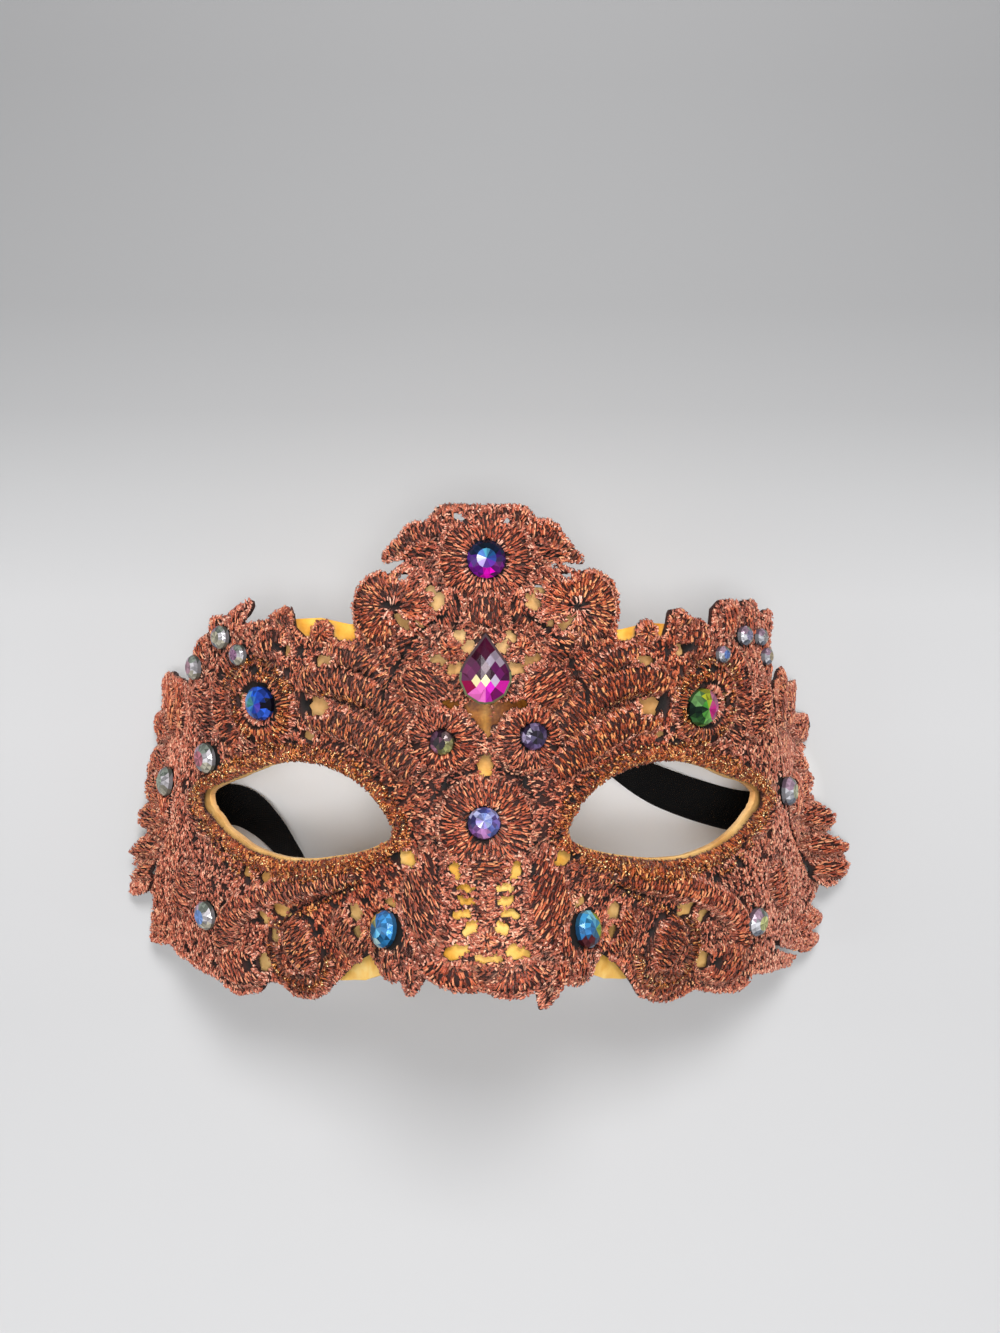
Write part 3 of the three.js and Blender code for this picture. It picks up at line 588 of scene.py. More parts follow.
def side_motifs():
    """The motifs of the right side, which the left side mirrors."""
    return [
        stripe(5, [(8.2, 53.6), (13.2, 52.8), (16.4, 50.7), (18.7, 48.5), (20.3, 47)], 0.7),
        leaf(12.8, 48.6, 5, 2.2, -20, 0.8, 5),
        leaf(13.2, 44.3, 4.6, 1.6, 5, 0.4, 60),
        leaf(7.2, 37.6, 3.4, 4.4, 25, 0.8, 75),
        flower(18.2, 37.7, 2.4, 8.6, 1.1, scallops=9),
        leaf(14.6, 29.6, 4.6, 3, 48, 0.8, 150),
        flower(6.8, 29.9, 0.4, 2.6, 0.8),
        stripe(6, [(19.5, 20), (25.5, 26.6), (33, 28)], 1, tint=0.5, lean=-8),
        stripe(
            6.6, [(15.4, 12.4), (19.8, 17.6), (25.6, 21.4), (33.4, 22.8), (39, 21.6)],
            1.1, tint=0.5, lean=-10,
        ),
        stripe(7, [(13.5, 4.6), (18, 8), (23.5, 11.4), (30.5, 14.6), (37.5, 15.4)], 1.2, tint=0.6, lean=-8),
        leaf(11.4, 22.2, 5.8, 4.6, 35, 1, 34),
        flower(8.4, 12, 2.7, 6.8, 1.1, scallops=11),
        flower(33.6, 32.2, 0.3, 2.6, 0.6),
        leaf(43, 34.2, 2.4, 3.4, 20, 0.5, 70),
        leaf(46, 30, 5, 3.4, -20, 0.4, 75),
        leaf(56, 34, 4, 3, 60, 0.5, 100),
        leaf(63, 33, 2.6, 4, 0, 0.5, 85),
        leaf(69, 25, 3, 6, 20, 0.5, 70),
        stripe(6, [(27, -16.6), (38, -19.6), (47, -22.8), (55, -26.6), (61, -32), (62.5, -39)], 1.1),
        leaf(41, -42.4, 6, 3.6, -4, 0.5, 80),
        leaf(40.6, -33.4, 4.2, 6.6, -8, 1.1, 140, tint=0.5),
        stripe(
            2.6, [(46.8, -29), (48.4, -35), (46.4, -40.6), (41, -42.6), (35.6, -40.4), (32.4, -34.6)],
            0.9, tint=0.8,
        ),
        leaf(57.5, -40.8, 7, 4.8, -10, 0.9, 70),
        leaf(26, -29, 6.5, 4.4, 35, 0.8, 120),
        leaf(10.6, -18, 4.4, 10, 4, 1.1, 58, tint=0.55),
        leaf(14.5, -28.5, 3.6, 6, 10, 0.6, 95),
        leaf(12, -32.6, 1.7, 3.8, 0, 0.3, 88),
        leaf(16.7, -32, 2.2, 3.4, 0, 0.3, 85),
        leaf(70, -9, 6.5, 4, 40, 0.7, 5),
        leaf(78, -27, 8, 4.5, -50, 0.8, 20),
        leaf(67, 14, 7, 4.5, 60, 0.8, 10),
        fan(*TEMPLE_FLOWER, 9, 15, -52, 62, 0.5),
        flower(*TEMPLE_FLOWER, 5.2, 9.2, 0.8, scallops=14, tint=0.6),
    ]


def both_sides(motif):
    """A right-hand motif and its mirrored twin."""
    form, rise, rows = motif
    twin = rows * [-1, 1, -1, 1, 1]
    twin[:, :4] += random.normal(0, 0.12, (len(twin), 4))
    return [
        (lambda u, v: np.where(u > 0, form(u, v), -10), rise, rows),
        (lambda u, v: np.where(u < 0, form(-u, v), -10), rise, twin),
    ]


motifs = [*middle_motifs(), *(half for motif in side_motifs() for half in both_sides(motif))]

# Leaf-shaped tips of the wings and of the front lace's lower corners, given for one side and
# mirrored: u, v, half length, half width and turn
FEATHERS = [
    (81, 14.6, 7.6, 3, 84), (89.5, 12.6, 7, 3, 72), (98, 6.8, 7.2, 3.2, 12), (96, -0.6, 6.6, 3.2, 4),
    (96, -7, 7.2, 3.6, -4), (97, -13.6, 7.4, 3.2, -10), (99, -21, 8, 2.6, -8), (100, -27, 8.4, 2.4, -12),
    (88, -8, 6, 3.4, 75),
]
CORNER_FEATHERS = [(98, -39.4, 7, 2.6, -4), (97, -44.4, 7, 2.4, -4)]

# Where copper dust and glitter lie, given for one side and mirrored: a ring round each temple stone,
# one round each eye hole with its width, and bands with their width and path
GLITTER_RING = {"radius": 6.6, "width": 1.2}
DUST_WIDTH = 3.6
GLITTER_PATHS = [
    (2, [(25, -17.5), (33, -22.4), (40, -26), (46, -29.4), (48.4, -35), (46.4, -40.6), (41, -42.6),
         (35.6, -40.4), (32.6, -34.6)]),
    (1.8, [(58.6, 20.6), (55, 24.4), (50, 25.9), (45, 24.4), (41.6, 20.4)]),
    (1.4, [(21.6, 17), (28, 19.4), (34, 20.4)]),
    (1.6, [(56, 4.6), (62, 2), (67, -1), (71, -4.6)]),
    (1.4, [(66.5, -11), (63, -16), (57, -19.4), (52, -20.4)]),
]

# Openings through which the gilt shell shows, as u, v, half width, half height and turn: those given
# for one side and mirrored, and those of the left side alone
WINDOWS = [
    (9.1, 39.1, 1.8, 1.2, -60), (10.7, 41.5, 0.9, 0.7, 0), (4.9, 32.5, 1.2, 1, -30),
    (3.2, 30.3, 1, 1.3, 20), (8.9, 27.7, 1.8, 0.8, 10), (5.7, 26, 1.6, 1.1, -10), (6.5, 19, 1.4, 0.8, 0),
    (0.6, 7, 0.8, 2, 0), (5.2, -12, 0.8, 1.5, -14), (3.3, -15, 1.6, 0.6, 0), (3.2, -17.2, 1.6, 0.65, 15),
    (3.8, -19.5, 1.6, 0.65, -10), (2.4, -21.9, 0.9, 1.5, 28), (4.7, -26.2, 2.1, 1.1, -28),
    (0.3, -27.3, 2.2, 0.6, 0), (14.4, -11.4, 2.2, 1.3, 0), (17.3, -20, 1.4, 0.7, 10),
    (25.6, -23.6, 1.9, 1.5, 20), (24.6, -27.4, 1.3, 1.4, 0), (32.8, 26.9, 2.2, 1, -10),
    (41.9, 28.4, 1.1, 1.3, 0), (34.4, 17.4, 2.8, 1.8, 0), (45, -26.4, 2, 1.6, 20),
    (49.9, -28.8, 1.9, 1.4, 20), (51.2, -38.8, 1.6, 2.2, 20), (37.6, 11.2, 1.3, 0.9, 0),
    (61.4, -14.5, 1, 1.7, 10), (17, 36, 1, 0.8, 0), (15.4, 34.4, 1.3, 0.8, 30), (12.4, 34.6, 1, 0.6, 30),
    (54, 17.4, 1, 1.5, 0),
]
LEFT_WINDOWS = [
    (-54.1, -19.4, 1.4, 1.3, 0), (-48.7, -19.8, 1.6, 1.2, 20), (-54.7, -23.2, 1.1, 1, 0),
    (-47.3, -31.8, 1.2, 1.9, 0),
]

# Pits of the net, painted dark as shade, given in the same way for one side and mirrored
PITS = [
    (22.3, 3.2, 0.9, 0.6, 30), (19, 1.4, 1.2, 0.6, 30), (17.3, -0.9, 0.8, 0.6, 0),
    (49.6, 24.1, 1.4, 1.2, 0), (44.2, 29.2, 1.5, 1.2, 30), (60.4, 22.5, 0.9, 1.6, 20),
    (56.2, 16.4, 0.8, 1.7, 0), (41.7, 24, 0.7, 1.4, 10), (38, 17.6, 1.1, 3, 0), (40.2, 12.2, 1, 0.8, 0),
    (50.9, 9.2, 1.3, 1, 0), (57.8, 11.4, 0.9, 0.9, 0), (38.4, 28.4, 0.8, 1.4, 30),
    (41.6, 9.6, 1.8, 0.6, 5), (36.9, 9.9, 1.6, 0.6, 0), (17.3, -11.7, 0.9, 1, 0), (13.9, -6.9, 0.6, 1, 0),
    (7.9, -12.2, 0.5, 1.8, -10), (8.9, -7.9, 0.7, 0.6, 0), (23.5, -20.9, 1.5, 0.7, 0),
    (31, -23.4, 1.4, 0.6, 30), (22.1, -31.8, 0.8, 1.8, 30), (65.2, 11, 0.8, 0.9, 0),
    (66, 8.5, 0.9, 0.9, 0), (62.6, 4.8, 0.9, 0.8, 0), (63.4, 2.3, 1, 0.7, 0), (78.5, -22, 1.3, 1, 0),
    (72, -14, 1, 1.9, 20), (68.8, -17.5, 0.8, 1.5, 0), (83, -18, 1, 0.7, 0), (65, -23.7, 1, 1, 0),
    (63, -19.5, 0.9, 0.8, 0), (79.4, -41, 1.8, 1.2, 0), (74, -38.5, 1.4, 0.7, -20),
    (66.6, -42, 1.2, 0.8, 0), (7.4, 3.2, 0.9, 1, 0), (18.2, 38.2, 2.3, 0.8, 8), (20.2, 36, 0.6, 0.8, 0),
    (62, -27.6, 1.8, 0.7, -35), (54.8, -39.8, 1.5, 1.9, 20), (77.4, -4, 1.4, 2.4, 10),
    (52.4, -29.8, 1, 0.7, 0), (37.6, -27, 2, 0.7, 30), (42.6, -25.6, 1, 0.7, 20), (69.6, 4, 0.6, 1.4, 0),
    (60.4, -18.7, 1.1, 1.3, 0), (68, -9.6, 0.9, 0.7, 0), (60.8, -23.6, 0.6, 1.2, 20),
    (53.4, -21.1, 1.4, 1.3, 0), (36, -30.1, 1.1, 1.2, 0), (61.2, 8.2, 1, 0.9, 0),
    (87.9, -36, 1.3, 1.1, 0),
]

# Openings to the floor, above the shell's top edge, each given where it lies
THROUGH_HOLES = [
    (-5.2, 55.7, 1.5, 0.8, -25), (-3.5, 54.6, 1, 0.6, -20), (4.2, 55, 0.8, 0.8, 0), (-16, 43.9, 1.4, 0.9, 20),
    (-14, 46, 1.1, 0.6, 0), (16, 44.2, 1.3, 0.7, -15), (13.8, 46, 1.2, 0.7, -20),
]

# Other places painted dark as shade, given for one side and mirrored: a ring round each temple stone, and
# grooves that part one motif from the next
PIT_RING = {"radius": 4.6, "width": 1.1}
GROOVES = [
    band(0.9, (7.6, 36.4), (12.8, 33), (17, 27), (19.8, 21), (20.2, 18.6)),
    band(0.6, (21, 16.6), (26.6, 18.3), (33, 19.6)),
    band(0.6, (22.4, 24.2), (28, 25.1), (34, 25.6)),
    band(0.7, (17.5, 9.6), (13.2, 10.6)),
    band(0.6, (1.2, 6.4), (7, 4.2), (9.6, 0)),
    band(0.7, (26, -18.6), (34, -22.4), (41, -25.8), (45, -30)),
    band(0.7, (46, -29), (43.6, -26.8), (38, -27.4), (35, -30)),
    band(0.6, (8.6, 52.4), (11.6, 48.8), (16.4, 47.6)),
    band(0.6, (5.2, 40.6), (4.9, 36.4), (5.9, 33.4)),
    band(0.6, (55.5, 22.4), (50, 25.1), (44.6, 23.8)),
    band(0.6, (66, -40), (68, -34), (66.5, -27)),
    band(0.7, (36, -30), (34.4, -35), (36, -38.6)),
]


# The three-cornered window under the drop-shaped stone, with one thread across it
teardrop_window = area([(-4.4, 19.4), (5.2, 19.4), (0.4, 12.6)])
teardrop_thread = band(0.5, (1.3, 20), (1.3, 12))
WINDOW_WAVE = 0.25
WINDOW_GROWTH = 0.2
even_windows = union([
    mirrored(union([ellipse(*spot) for spot in WINDOWS])), *(ellipse(*spot) for spot in LEFT_WINDOWS),
    lambda u, v: np.minimum(teardrop_window(u, v), -teardrop_thread(u, v)),
])


def windows(u, v):
    """The windows with the uneven edges that embroidery leaves."""
    wavy_u = u + WINDOW_WAVE * np.sin(3.1 * v + u)
    wavy_v = v + WINDOW_WAVE * np.sin(2.7 * u - v)
    return even_windows(wavy_u, wavy_v) + WINDOW_GROWTH


through_holes = union([ellipse(*spot) for spot in THROUGH_HOLES])
painted_dark_pits = mirrored(union([*(ellipse(*spot) for spot in PITS), *GROOVES, hoop(*TEMPLE_FLOWER, **PIT_RING)]))
in_front = area([(-9, 80), (80, 80), *SEAM, (110, -60), (-9, -60)])
feathers = mirrored(union([ellipse(*feather) for feather in FEATHERS]))
corners = mirrored(union([ellipse(*feather) for feather in CORNER_FEATHERS]))
front_forms = {side: area(outline) for side, outline in FRONT_LACE.items()}
wing_forms = {side: area(outline) for side, outline in WING_LACE.items()}
motif_area = union([form for form, _, _ in motifs])


def for_its_side(forms, u, v):
    """The value of the left form on the left of the face and of the right form on its right."""
    return np.where(np.asarray(u) > 0, forms["right"](np.abs(u), v), forms["left"](np.abs(u), v))


def dusted(u, v):
    """Positive in the bands that carry glitter."""
    a = np.abs(u)
    bands = [band(width, *points)(a, v) for width, points in GLITTER_PATHS]
    ring = hoop(*TEMPLE_FLOWER, **GLITTER_RING)(a, v)
    return np.max([*bands, DUST_WIDTH + eye_hole(u, v), ring], axis=0)


def from_seam(u, v):
    """The distance to the seam, positive on the side of the front lace."""
    a = np.abs(u)
    drop = by_side(SEAM_DROP, u) * smooth((a - SEAM_DROP_START) / SEAM_DROP_RUN)
    return in_front(a - by_side(SEAM_SHIFT, u), v + drop)


def front_cover(u, v):
    """Positive where the front lace has net."""
    return np.min(
        [
            for_its_side(front_forms, u, v),
            from_seam(u, v),
            -eye_hole(u, v),
            np.maximum(-windows(u, v), seats(u, v)),
            -through_holes(u, v),
        ],
        axis=0,
    )


def over_front(u):
    """How much of the way a wing has risen over the front lace, from 0 beside it to 1 at the end."""
    return smooth((np.abs(u) - WING_RISE_START) / WING_RISE_RUN)


def from_wing_edge(u, v):
    """The distance past a wing's inner edge, negative on the wing."""
    return from_seam(u, v) + SEAM_GAP - WING_OVERLAP * over_front(u)


def wing_cover(side):
    """The form that is positive where this side's wing has net."""

    def inside(u, v):
        shape = np.minimum(wing_forms[side](np.abs(u), v), -from_wing_edge(u, v))
        return np.where((u > 0) == (side == "right"), shape, -10)

    return inside


def outward(u):
    """How much of its flare the lace has reached, from 0 on the shell to 1 at the tips."""
    return smooth((np.abs(u) - FLARE_START) / (LACE_REACH - FLARE_START))


def front_under(u, v):
    """How high the underside of the front lace stands off the shell."""
    return LACE_UNDER + by_side(CORNER_FLARE, u) * outward(u)


def wing_under(u, v):
    """How high the underside of a wing stands off the shell; its lower tips bend out the most."""
    return LACE_UNDER + by_side(WING_FLARE, u) * outward(u) * (0.1 + 0.9 * smooth((-5 - v) / 16))


def dome(depth):
    """The rounded rise of a motif from its edge inwards."""
    return np.sqrt(1 - (1 - np.clip(depth, 0, 1)) ** 2)


def from_motif_edges(u, v):
    """The distance to the nearest outline of a motif that shows there."""
    nearest = np.full(np.shape(u), 9.0)
    for form, _, _ in motifs:
        depth = form(u, v)
        nearest = np.where(depth > 0, depth, np.minimum(nearest, -depth))
    return nearest


def from_feather_edges(u, v):
    return np.abs(feathers(u, v))


def crease(distance):
    """The depth of the crease along the edges of motifs or feathers, at this distance from them."""
    return CREASE_DEPTH * (1 - smooth(distance / CREASE_WIDTH))


def round_seats(rise, u, v):
    """A relief that is flattened where stones sit."""
    return rise * smooth(-seats(u, v) / SEAT_SLOPE)


def front_relief(u, v):
    """How high the front lace rises over its net."""
    rise = np.zeros(np.shape(u))
    for form, height, _ in motifs:
        rise = np.maximum(rise, RELIEF * height * dome(form(u, v) / ROUNDING))
    rise = rise - crease(from_motif_edges(u, v))
    rise = np.maximum(rise, LOW_RELIEF * dome(corners(u, v) / ROUNDING))
    rim = np.clip(-eye_hole(u, v) / RIM_WIDTH, 0, 1)
    rise = np.maximum(rise, LOW_RELIEF * np.sin(math.pi * rim))
    return round_seats(rise, u, v)


def wing_relief(u, v):
    """How high a wing rises over its net."""
    rise = LOW_RELIEF * dome(feathers(u, v) / ROUNDING) - crease(from_feather_edges(u, v))
    return round_seats(rise, u, v)


# Mesh helpers
def deselect_all():
    bpy.ops.object.select_all(action="DESELECT")


def points_of(mesh):
    flat = np.empty(3 * len(mesh.vertices))
    mesh.vertices.foreach_get("co", flat)
    return flat.reshape(-1, 3)


def set_points(mesh, points):
    mesh.vertices.foreach_set("co", np.ravel(points))
    mesh.update()


def select_points(mesh, chosen):
    """Selects these vertices and nothing else, ready for edit mode."""
    bpy.context.tool_settings.mesh_select_mode = (True, False, False)
    mesh.polygons.foreach_set("select", np.zeros(len(mesh.polygons), bool))
    mesh.edges.foreach_set("select", np.zeros(len(mesh.edges), bool))
    mesh.vertices.foreach_set("select", chosen)


def edge_points(mesh):
    """True for each vertex on an open edge."""
    loops = np.empty(len(mesh.loops), np.int32)
    mesh.loops.foreach_get("edge_index", loops)
    ends = np.empty(2 * len(mesh.edges), np.int32)
    mesh.edges.foreach_get("vertices", ends)
    is_open = np.bincount(loops, minlength=len(mesh.edges)) == 1
    found = np.zeros(len(mesh.vertices), bool)
    found[ends.reshape(-1, 2)[is_open].ravel()] = True
    return found


def add_attribute(mesh, name, values):
    layer = mesh.attributes.new(name, "FLOAT", "POINT")
    layer.data.foreach_set("value", np.asarray(values, np.float32))


def apply_modifier(obj, kind, **settings):
    bpy.context.view_layer.objects.active = obj
    modifier = obj.modifiers.new(kind.title(), kind)
    for name, value in settings.items():
        setattr(modifier, name, value)
    bpy.ops.object.modifier_apply(modifier=modifier.name)


def finish_piece(obj, name, material, replaced=()):
    """Names a piece, gives it its finish, and ties it to the object's one body."""
    obj.name = name
    obj.data.name = name
    obj.data.materials.clear()
    obj.data.materials.append(material)
    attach(obj, "root")
    if replaced:
        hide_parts(*replaced)


def cut_sheet(covers, step, reach, low, high, seed):
    """A flat grid in (u, v), cut to where covers is positive and with its rim on the outline.
    seed is a place on the part that is kept where the outline leaves loose scraps."""
    deselect_all()
    columns, rows = round(2 * reach / step), round((high - low) / step)
    bpy.ops.mesh.primitive_grid_add(x_subdivisions=columns, y_subdivisions=rows, size=1)
    obj = bpy.context.object
    mesh = obj.data
    points = points_of(mesh) * [2 * reach, high - low, 1] + [0, (low + high) / 2, 0]
    set_points(mesh, points)
    select_points(mesh, value_at(covers, points) < -0.5 * step)
    bpy.ops.object.mode_set(mode="EDIT")
    bpy.ops.mesh.delete(type="VERT")
    bpy.ops.object.mode_set(mode="OBJECT")
    points = points_of(mesh)
    away = np.hypot(points[:, 0] - seed[0], points[:, 1] - seed[1])
    select_points(mesh, away == away.min())
    bpy.ops.object.mode_set(mode="EDIT")
    bpy.ops.mesh.select_linked()
    bpy.ops.mesh.select_all(action="INVERT")
    bpy.ops.mesh.delete(type="VERT")
    bpy.ops.object.mode_set(mode="OBJECT")
    points = points_of(mesh)
    rim = edge_points(mesh)
    points[rim, :2] = drawn_to_outline(covers, points[rim, :2], 0.7 * step)
    set_points(mesh, points)
    return obj


def drawn_to_outline(covers, places, farthest):
    """Moves places along the steepest way onto the outline of covers."""
    moved = places.copy()
    for _ in range(3):
        slope = slope_of(covers, moved)
        steep = np.maximum((slope**2).sum(axis=1), 0.3)
        moved -= (value_at(covers, moved) / steep)[:, None] * slope
    shift = moved - places
    length = np.maximum(np.linalg.norm(shift, axis=1), 1e-9)
    return places + shift * np.minimum(1, farthest / length)[:, None]


def wrap_sheet(obj, heights, thickness, floor):
    """Lays a flat sheet on the face at heights(u, v) and gives it its thickness, cut flat at floor."""
    mesh = obj.data
    flat = points_of(mesh)
    set_points(mesh, place(flat[:, 0], flat[:, 1], value_at(heights, flat)))
    apply_modifier(obj, "SOLIDIFY", thickness=thickness * MM, offset=-1)
    points = points_of(mesh)
    points[:, 2] = np.maximum(points[:, 2], floor * MM)
    set_points(mesh, points)


# Materials
def paint(red, green, blue):
    """A colour as mixed on screen, from 0 to 255, turned into the light it reflects."""
    parts = [c / 255 for c in (red, green, blue)]
    return (*[c / 12.92 if c <= 0.04045 else ((c + 0.055) / 1.055) ** 2.4 for c in parts], 1)


class Nodes:
    """A short way to lay out a node tree."""

    def __init__(self, tree):
        self.tree = tree

    def add(self, kind, inputs=(), **settings):
        node = self.tree.nodes.new(kind)
        for name, value in settings.items():
            setattr(node, name, value)
        for socket, value in dict(inputs).items():
            self.feed(node.inputs[socket], value)
        return node

    def feed(self, socket, value):
        if isinstance(value, bpy.types.NodeSocket):
            self.tree.links.new(value, socket)
        else:
            socket.default_value = value

    def maths(self, operation, first, second=0.0):
        return self.add("ShaderNodeMath", {0: first, 1: second}, operation=operation).outputs[0]

    def grain(self, scale, fine_share=0.3):
        """The shared grain group: soft patches at this scale with finer grain over them."""
        where = self.add("ShaderNodeTexCoord").outputs["Object"]
        inputs = {"Vector": where, "Scale": scale, "Fine Share": fine_share}
        node = self.add("ShaderNodeGroup", node_tree=grain_group())
        for socket, value in inputs.items():
            self.feed(node.inputs[socket], value)
        return node.outputs["Grain"]

    def stretched(self, value, low, high, to_low=0.0, to_high=1.0):
        inputs = {"Value": value, "From Min": low, "From Max": high, "To Min": to_low, "To Max": to_high}
        return self.add("ShaderNodeMapRange", inputs).outputs["Result"]

    def ramp(self, factor, *stops):
        node = self.add("ShaderNodeValToRGB", {"Fac": factor})
        elements = node.color_ramp.elements
        while len(elements) < len(stops):
            elements.new(0.5)
        for element, (position, colour) in zip(elements, stops):
            element.position = position
            element.color = colour
        return node.outputs["Color"]

    def mix(self, factor, first, second, blend="MIX"):
        node = self.add("ShaderNodeMix", data_type="RGBA", blend_type=blend)
        self.feed(node.inputs["Factor"], factor)
        self.feed(node.inputs["A"], first)
        self.feed(node.inputs["B"], second)
        return node.outputs["Result"]

    def attribute(self, name):
        return self.add("ShaderNodeAttribute", attribute_name=name).outputs["Fac"]

    def bump(self, height, strength, distance):
        inputs = {"Height": height, "Strength": strength, "Distance": distance}
        return self.add("ShaderNodeBump", inputs).outputs["Normal"]


def grain_group():
    """The grain that paint, thread, net, glass and floor share, made once."""
    name = "grain"
    if name in bpy.data.node_groups:
        return bpy.data.node_groups[name]
    tree = bpy.data.node_groups.new(name, "ShaderNodeTree")
    tree.interface.new_socket("Vector", in_out="INPUT", socket_type="NodeSocketVector")
    tree.interface.new_socket("Scale", in_out="INPUT", socket_type="NodeSocketFloat")
    tree.interface.new_socket("Fine Share", in_out="INPUT", socket_type="NodeSocketFloat")
    tree.interface.new_socket("Grain", in_out="OUTPUT", socket_type="NodeSocketFloat")
    nodes = Nodes(tree)
    given = nodes.add("NodeGroupInput").outputs
    inputs = {"Vector": given["Vector"], "Scale": given["Scale"], "Detail": 3.0}
    patches = nodes.add("ShaderNodeTexNoise", inputs).outputs["Fac"]
    finer = nodes.maths("MULTIPLY", given["Scale"], 9.0)
    inputs = {"Vector": given["Vector"], "Scale": finer, "Detail": 3.0}
    fine = nodes.add("ShaderNodeTexNoise", inputs).outputs["Fac"]
    mixed = nodes.add("ShaderNodeMix", data_type="FLOAT")
    for socket, value in (("Factor", given["Fine Share"]), ("A", patches), ("B", fine)):
        nodes.feed(mixed.inputs[socket], value)
    nodes.add("NodeGroupOutput", {"Grain": mixed.outputs["Result"]})
    return tree


def new_material(name, **values):
    """A material with its nodes and its Principled shader, whose plain values are given."""
    material = bpy.data.materials.new(name)
    material.use_nodes = True
    nodes = Nodes(material.node_tree)
    shader = material.node_tree.nodes["Principled BSDF"]
    for socket, value in values.items():
        shader.inputs[socket.replace("_", " ")].default_value = value
    return material, nodes, shader


def lace_thread():
    """Rose rayon thread, with copper dust on some: painted light where a stitch bows up, and painted shade
    where it dives in, where it lies sunk and along the edges of motifs.
    """
    material, nodes, shader = new_material(
        "lace_thread", Roughness=0.42, Sheen_Weight=0.3, Sheen_Roughness=0.4, Sheen_Tint=paint(255, 196, 176)
    )
    tone = nodes.maths("MULTIPLY", nodes.attribute("tone"), 0.72)
    mixed = nodes.maths("ADD", tone, nodes.maths("MULTIPLY", nodes.grain(140, 0.5), 0.42))
    pale = nodes.ramp(
        mixed, (0.15, paint(116, 42, 28)), (0.42, paint(186, 94, 70)), (0.66, paint(222, 137, 109)),
        (0.9, paint(254, 202, 176)),
    )
    rose = nodes.ramp(
        mixed, (0.15, paint(90, 21, 10)), (0.42, paint(168, 67, 39)), (0.66, paint(210, 104, 66)),
        (0.9, paint(250, 172, 128)),
    )
    copper = nodes.ramp(
        mixed, (0.15, paint(56, 16, 6)), (0.45, paint(138, 51, 18)), (0.7, paint(196, 94, 38)),
        (0.9, paint(246, 174, 102)),
    )
    tint = nodes.attribute("tint")
    thread = nodes.mix(nodes.stretched(tint, 0.0, ROSE), pale, rose)
    dust = nodes.stretched(nodes.grain(55, 0.2), 0.46, 0.68, 0.0, 0.6)
    thread = nodes.mix(nodes.maths("MAXIMUM", nodes.stretched(tint, ROSE, 1.0), dust), thread, copper)
    # Painted light and shade, multiplied into the thread's colour
    shade = nodes.mix(nodes.attribute("painted_shading"), paint(44, 14, 8), paint(255, 255, 255))
    nodes.feed(shader.inputs["Base Color"], nodes.mix(1.0, thread, shade, "MULTIPLY"))
    nodes.feed(shader.inputs["Normal"], nodes.bump(nodes.grain(1500, 0.2), 0.4, 0.0001))
    return material


def lace_net():
    """The ground that the stitches lie on: darker, and painted nearly black as shade in its pits and in a
    ring round each stone.
    """
    material, nodes, shader = new_material("lace_net", Roughness=0.8)
    grain = nodes.grain(500)
    cloth = nodes.ramp(grain, (0.3, paint(18, 4, 2)), (0.7, paint(60, 18, 9)))
    nodes.feed(shader.inputs["Base Color"], nodes.mix(nodes.attribute("pit_and_painted_shade"), cloth, paint(12, 4, 3)))
    nodes.feed(shader.inputs["Normal"], nodes.bump(grain, 0.8, 0.0004))
    return material


def gold_paint():
    """Gilt paint brushed over papier-mache, browned by painted shade under the lace, and bare of gold on the
    inside.
    """
    material, nodes, shader = new_material(
        "gold_paint", Metallic=0.05, Roughness=0.42, Specular_IOR_Level=0.2
    )
    blotch = nodes.grain(45)
    bright = nodes.ramp(
        blotch, (0.34, paint(196, 124, 34)), (0.46, paint(238, 174, 68)), (0.58, paint(252, 202, 104)),
        (0.7, paint(255, 226, 150)),
    )
    shaded_gold = nodes.ramp(
        nodes.grain(160), (0.38, paint(76, 36, 6)), (0.5, paint(118, 64, 15)), (0.62, paint(164, 102, 38)),
    )
    # Painted shade: the gold turns brown under the lace
    gilt = nodes.mix(nodes.attribute("painted_shade_under_lace"), bright, shaded_gold)
    bare = nodes.ramp(nodes.grain(90), (0.35, paint(206, 154, 98)), (0.65, paint(236, 196, 142)))
    colour = nodes.mix(nodes.attribute("inside"), gilt, bare)
    nodes.feed(shader.inputs["Base Color"], colour)
    nodes.feed(shader.inputs["Roughness"], nodes.stretched(nodes.grain(420), 0.2, 0.8, 0.3, 0.55))
    nodes.feed(shader.inputs["Normal"], nodes.bump(blotch, 0.5, 0.0006))
    return material


RIB_SPACING = 0.9
PICK_SPACING = 0.7


def elastic():
    """Black woven elastic, its ribs running along the strap and its picks across it."""
    material, nodes, shader = new_material("black_elastic", Roughness=0.85, Specular_IOR_Level=0.2)
    ribs = nodes.maths("SINE", nodes.maths("MULTIPLY", nodes.attribute("across"), 2 * math.pi / RIB_SPACING))
    picks = nodes.maths("SINE", nodes.maths("MULTIPLY", nodes.attribute("along"), 2 * math.pi / PICK_SPACING))
    weave = nodes.stretched(nodes.maths("MULTIPLY", ribs, picks), -1.0, 1.0)
    nodes.feed(shader.inputs["Base Color"], nodes.ramp(weave, (0.1, paint(1, 1, 2)), (0.9, paint(9, 9, 10))))
    nodes.feed(shader.inputs["Normal"], nodes.bump(weave, 0.6, 0.0003))
    return material


def glass(name):
    """Foil-backed glass, its own colour and painted flashes of light held in the facets' colours."""
    material, nodes, shader = new_material(
        name, Metallic=0.1, Roughness=0.12, IOR=1.5, Specular_IOR_Level=0.22,
        Coat_Weight=0.05, Coat_Roughness=0.03,
    )
    colour = nodes.add("ShaderNodeAttribute", attribute_name="tint_and_painted_flash").outputs["Color"]
    darker = nodes.mix(0.3, colour, paint(20, 14, 34))
    nodes.feed(shader.inputs["Base Color"], nodes.mix(nodes.grain(500), colour, darker))
    return material


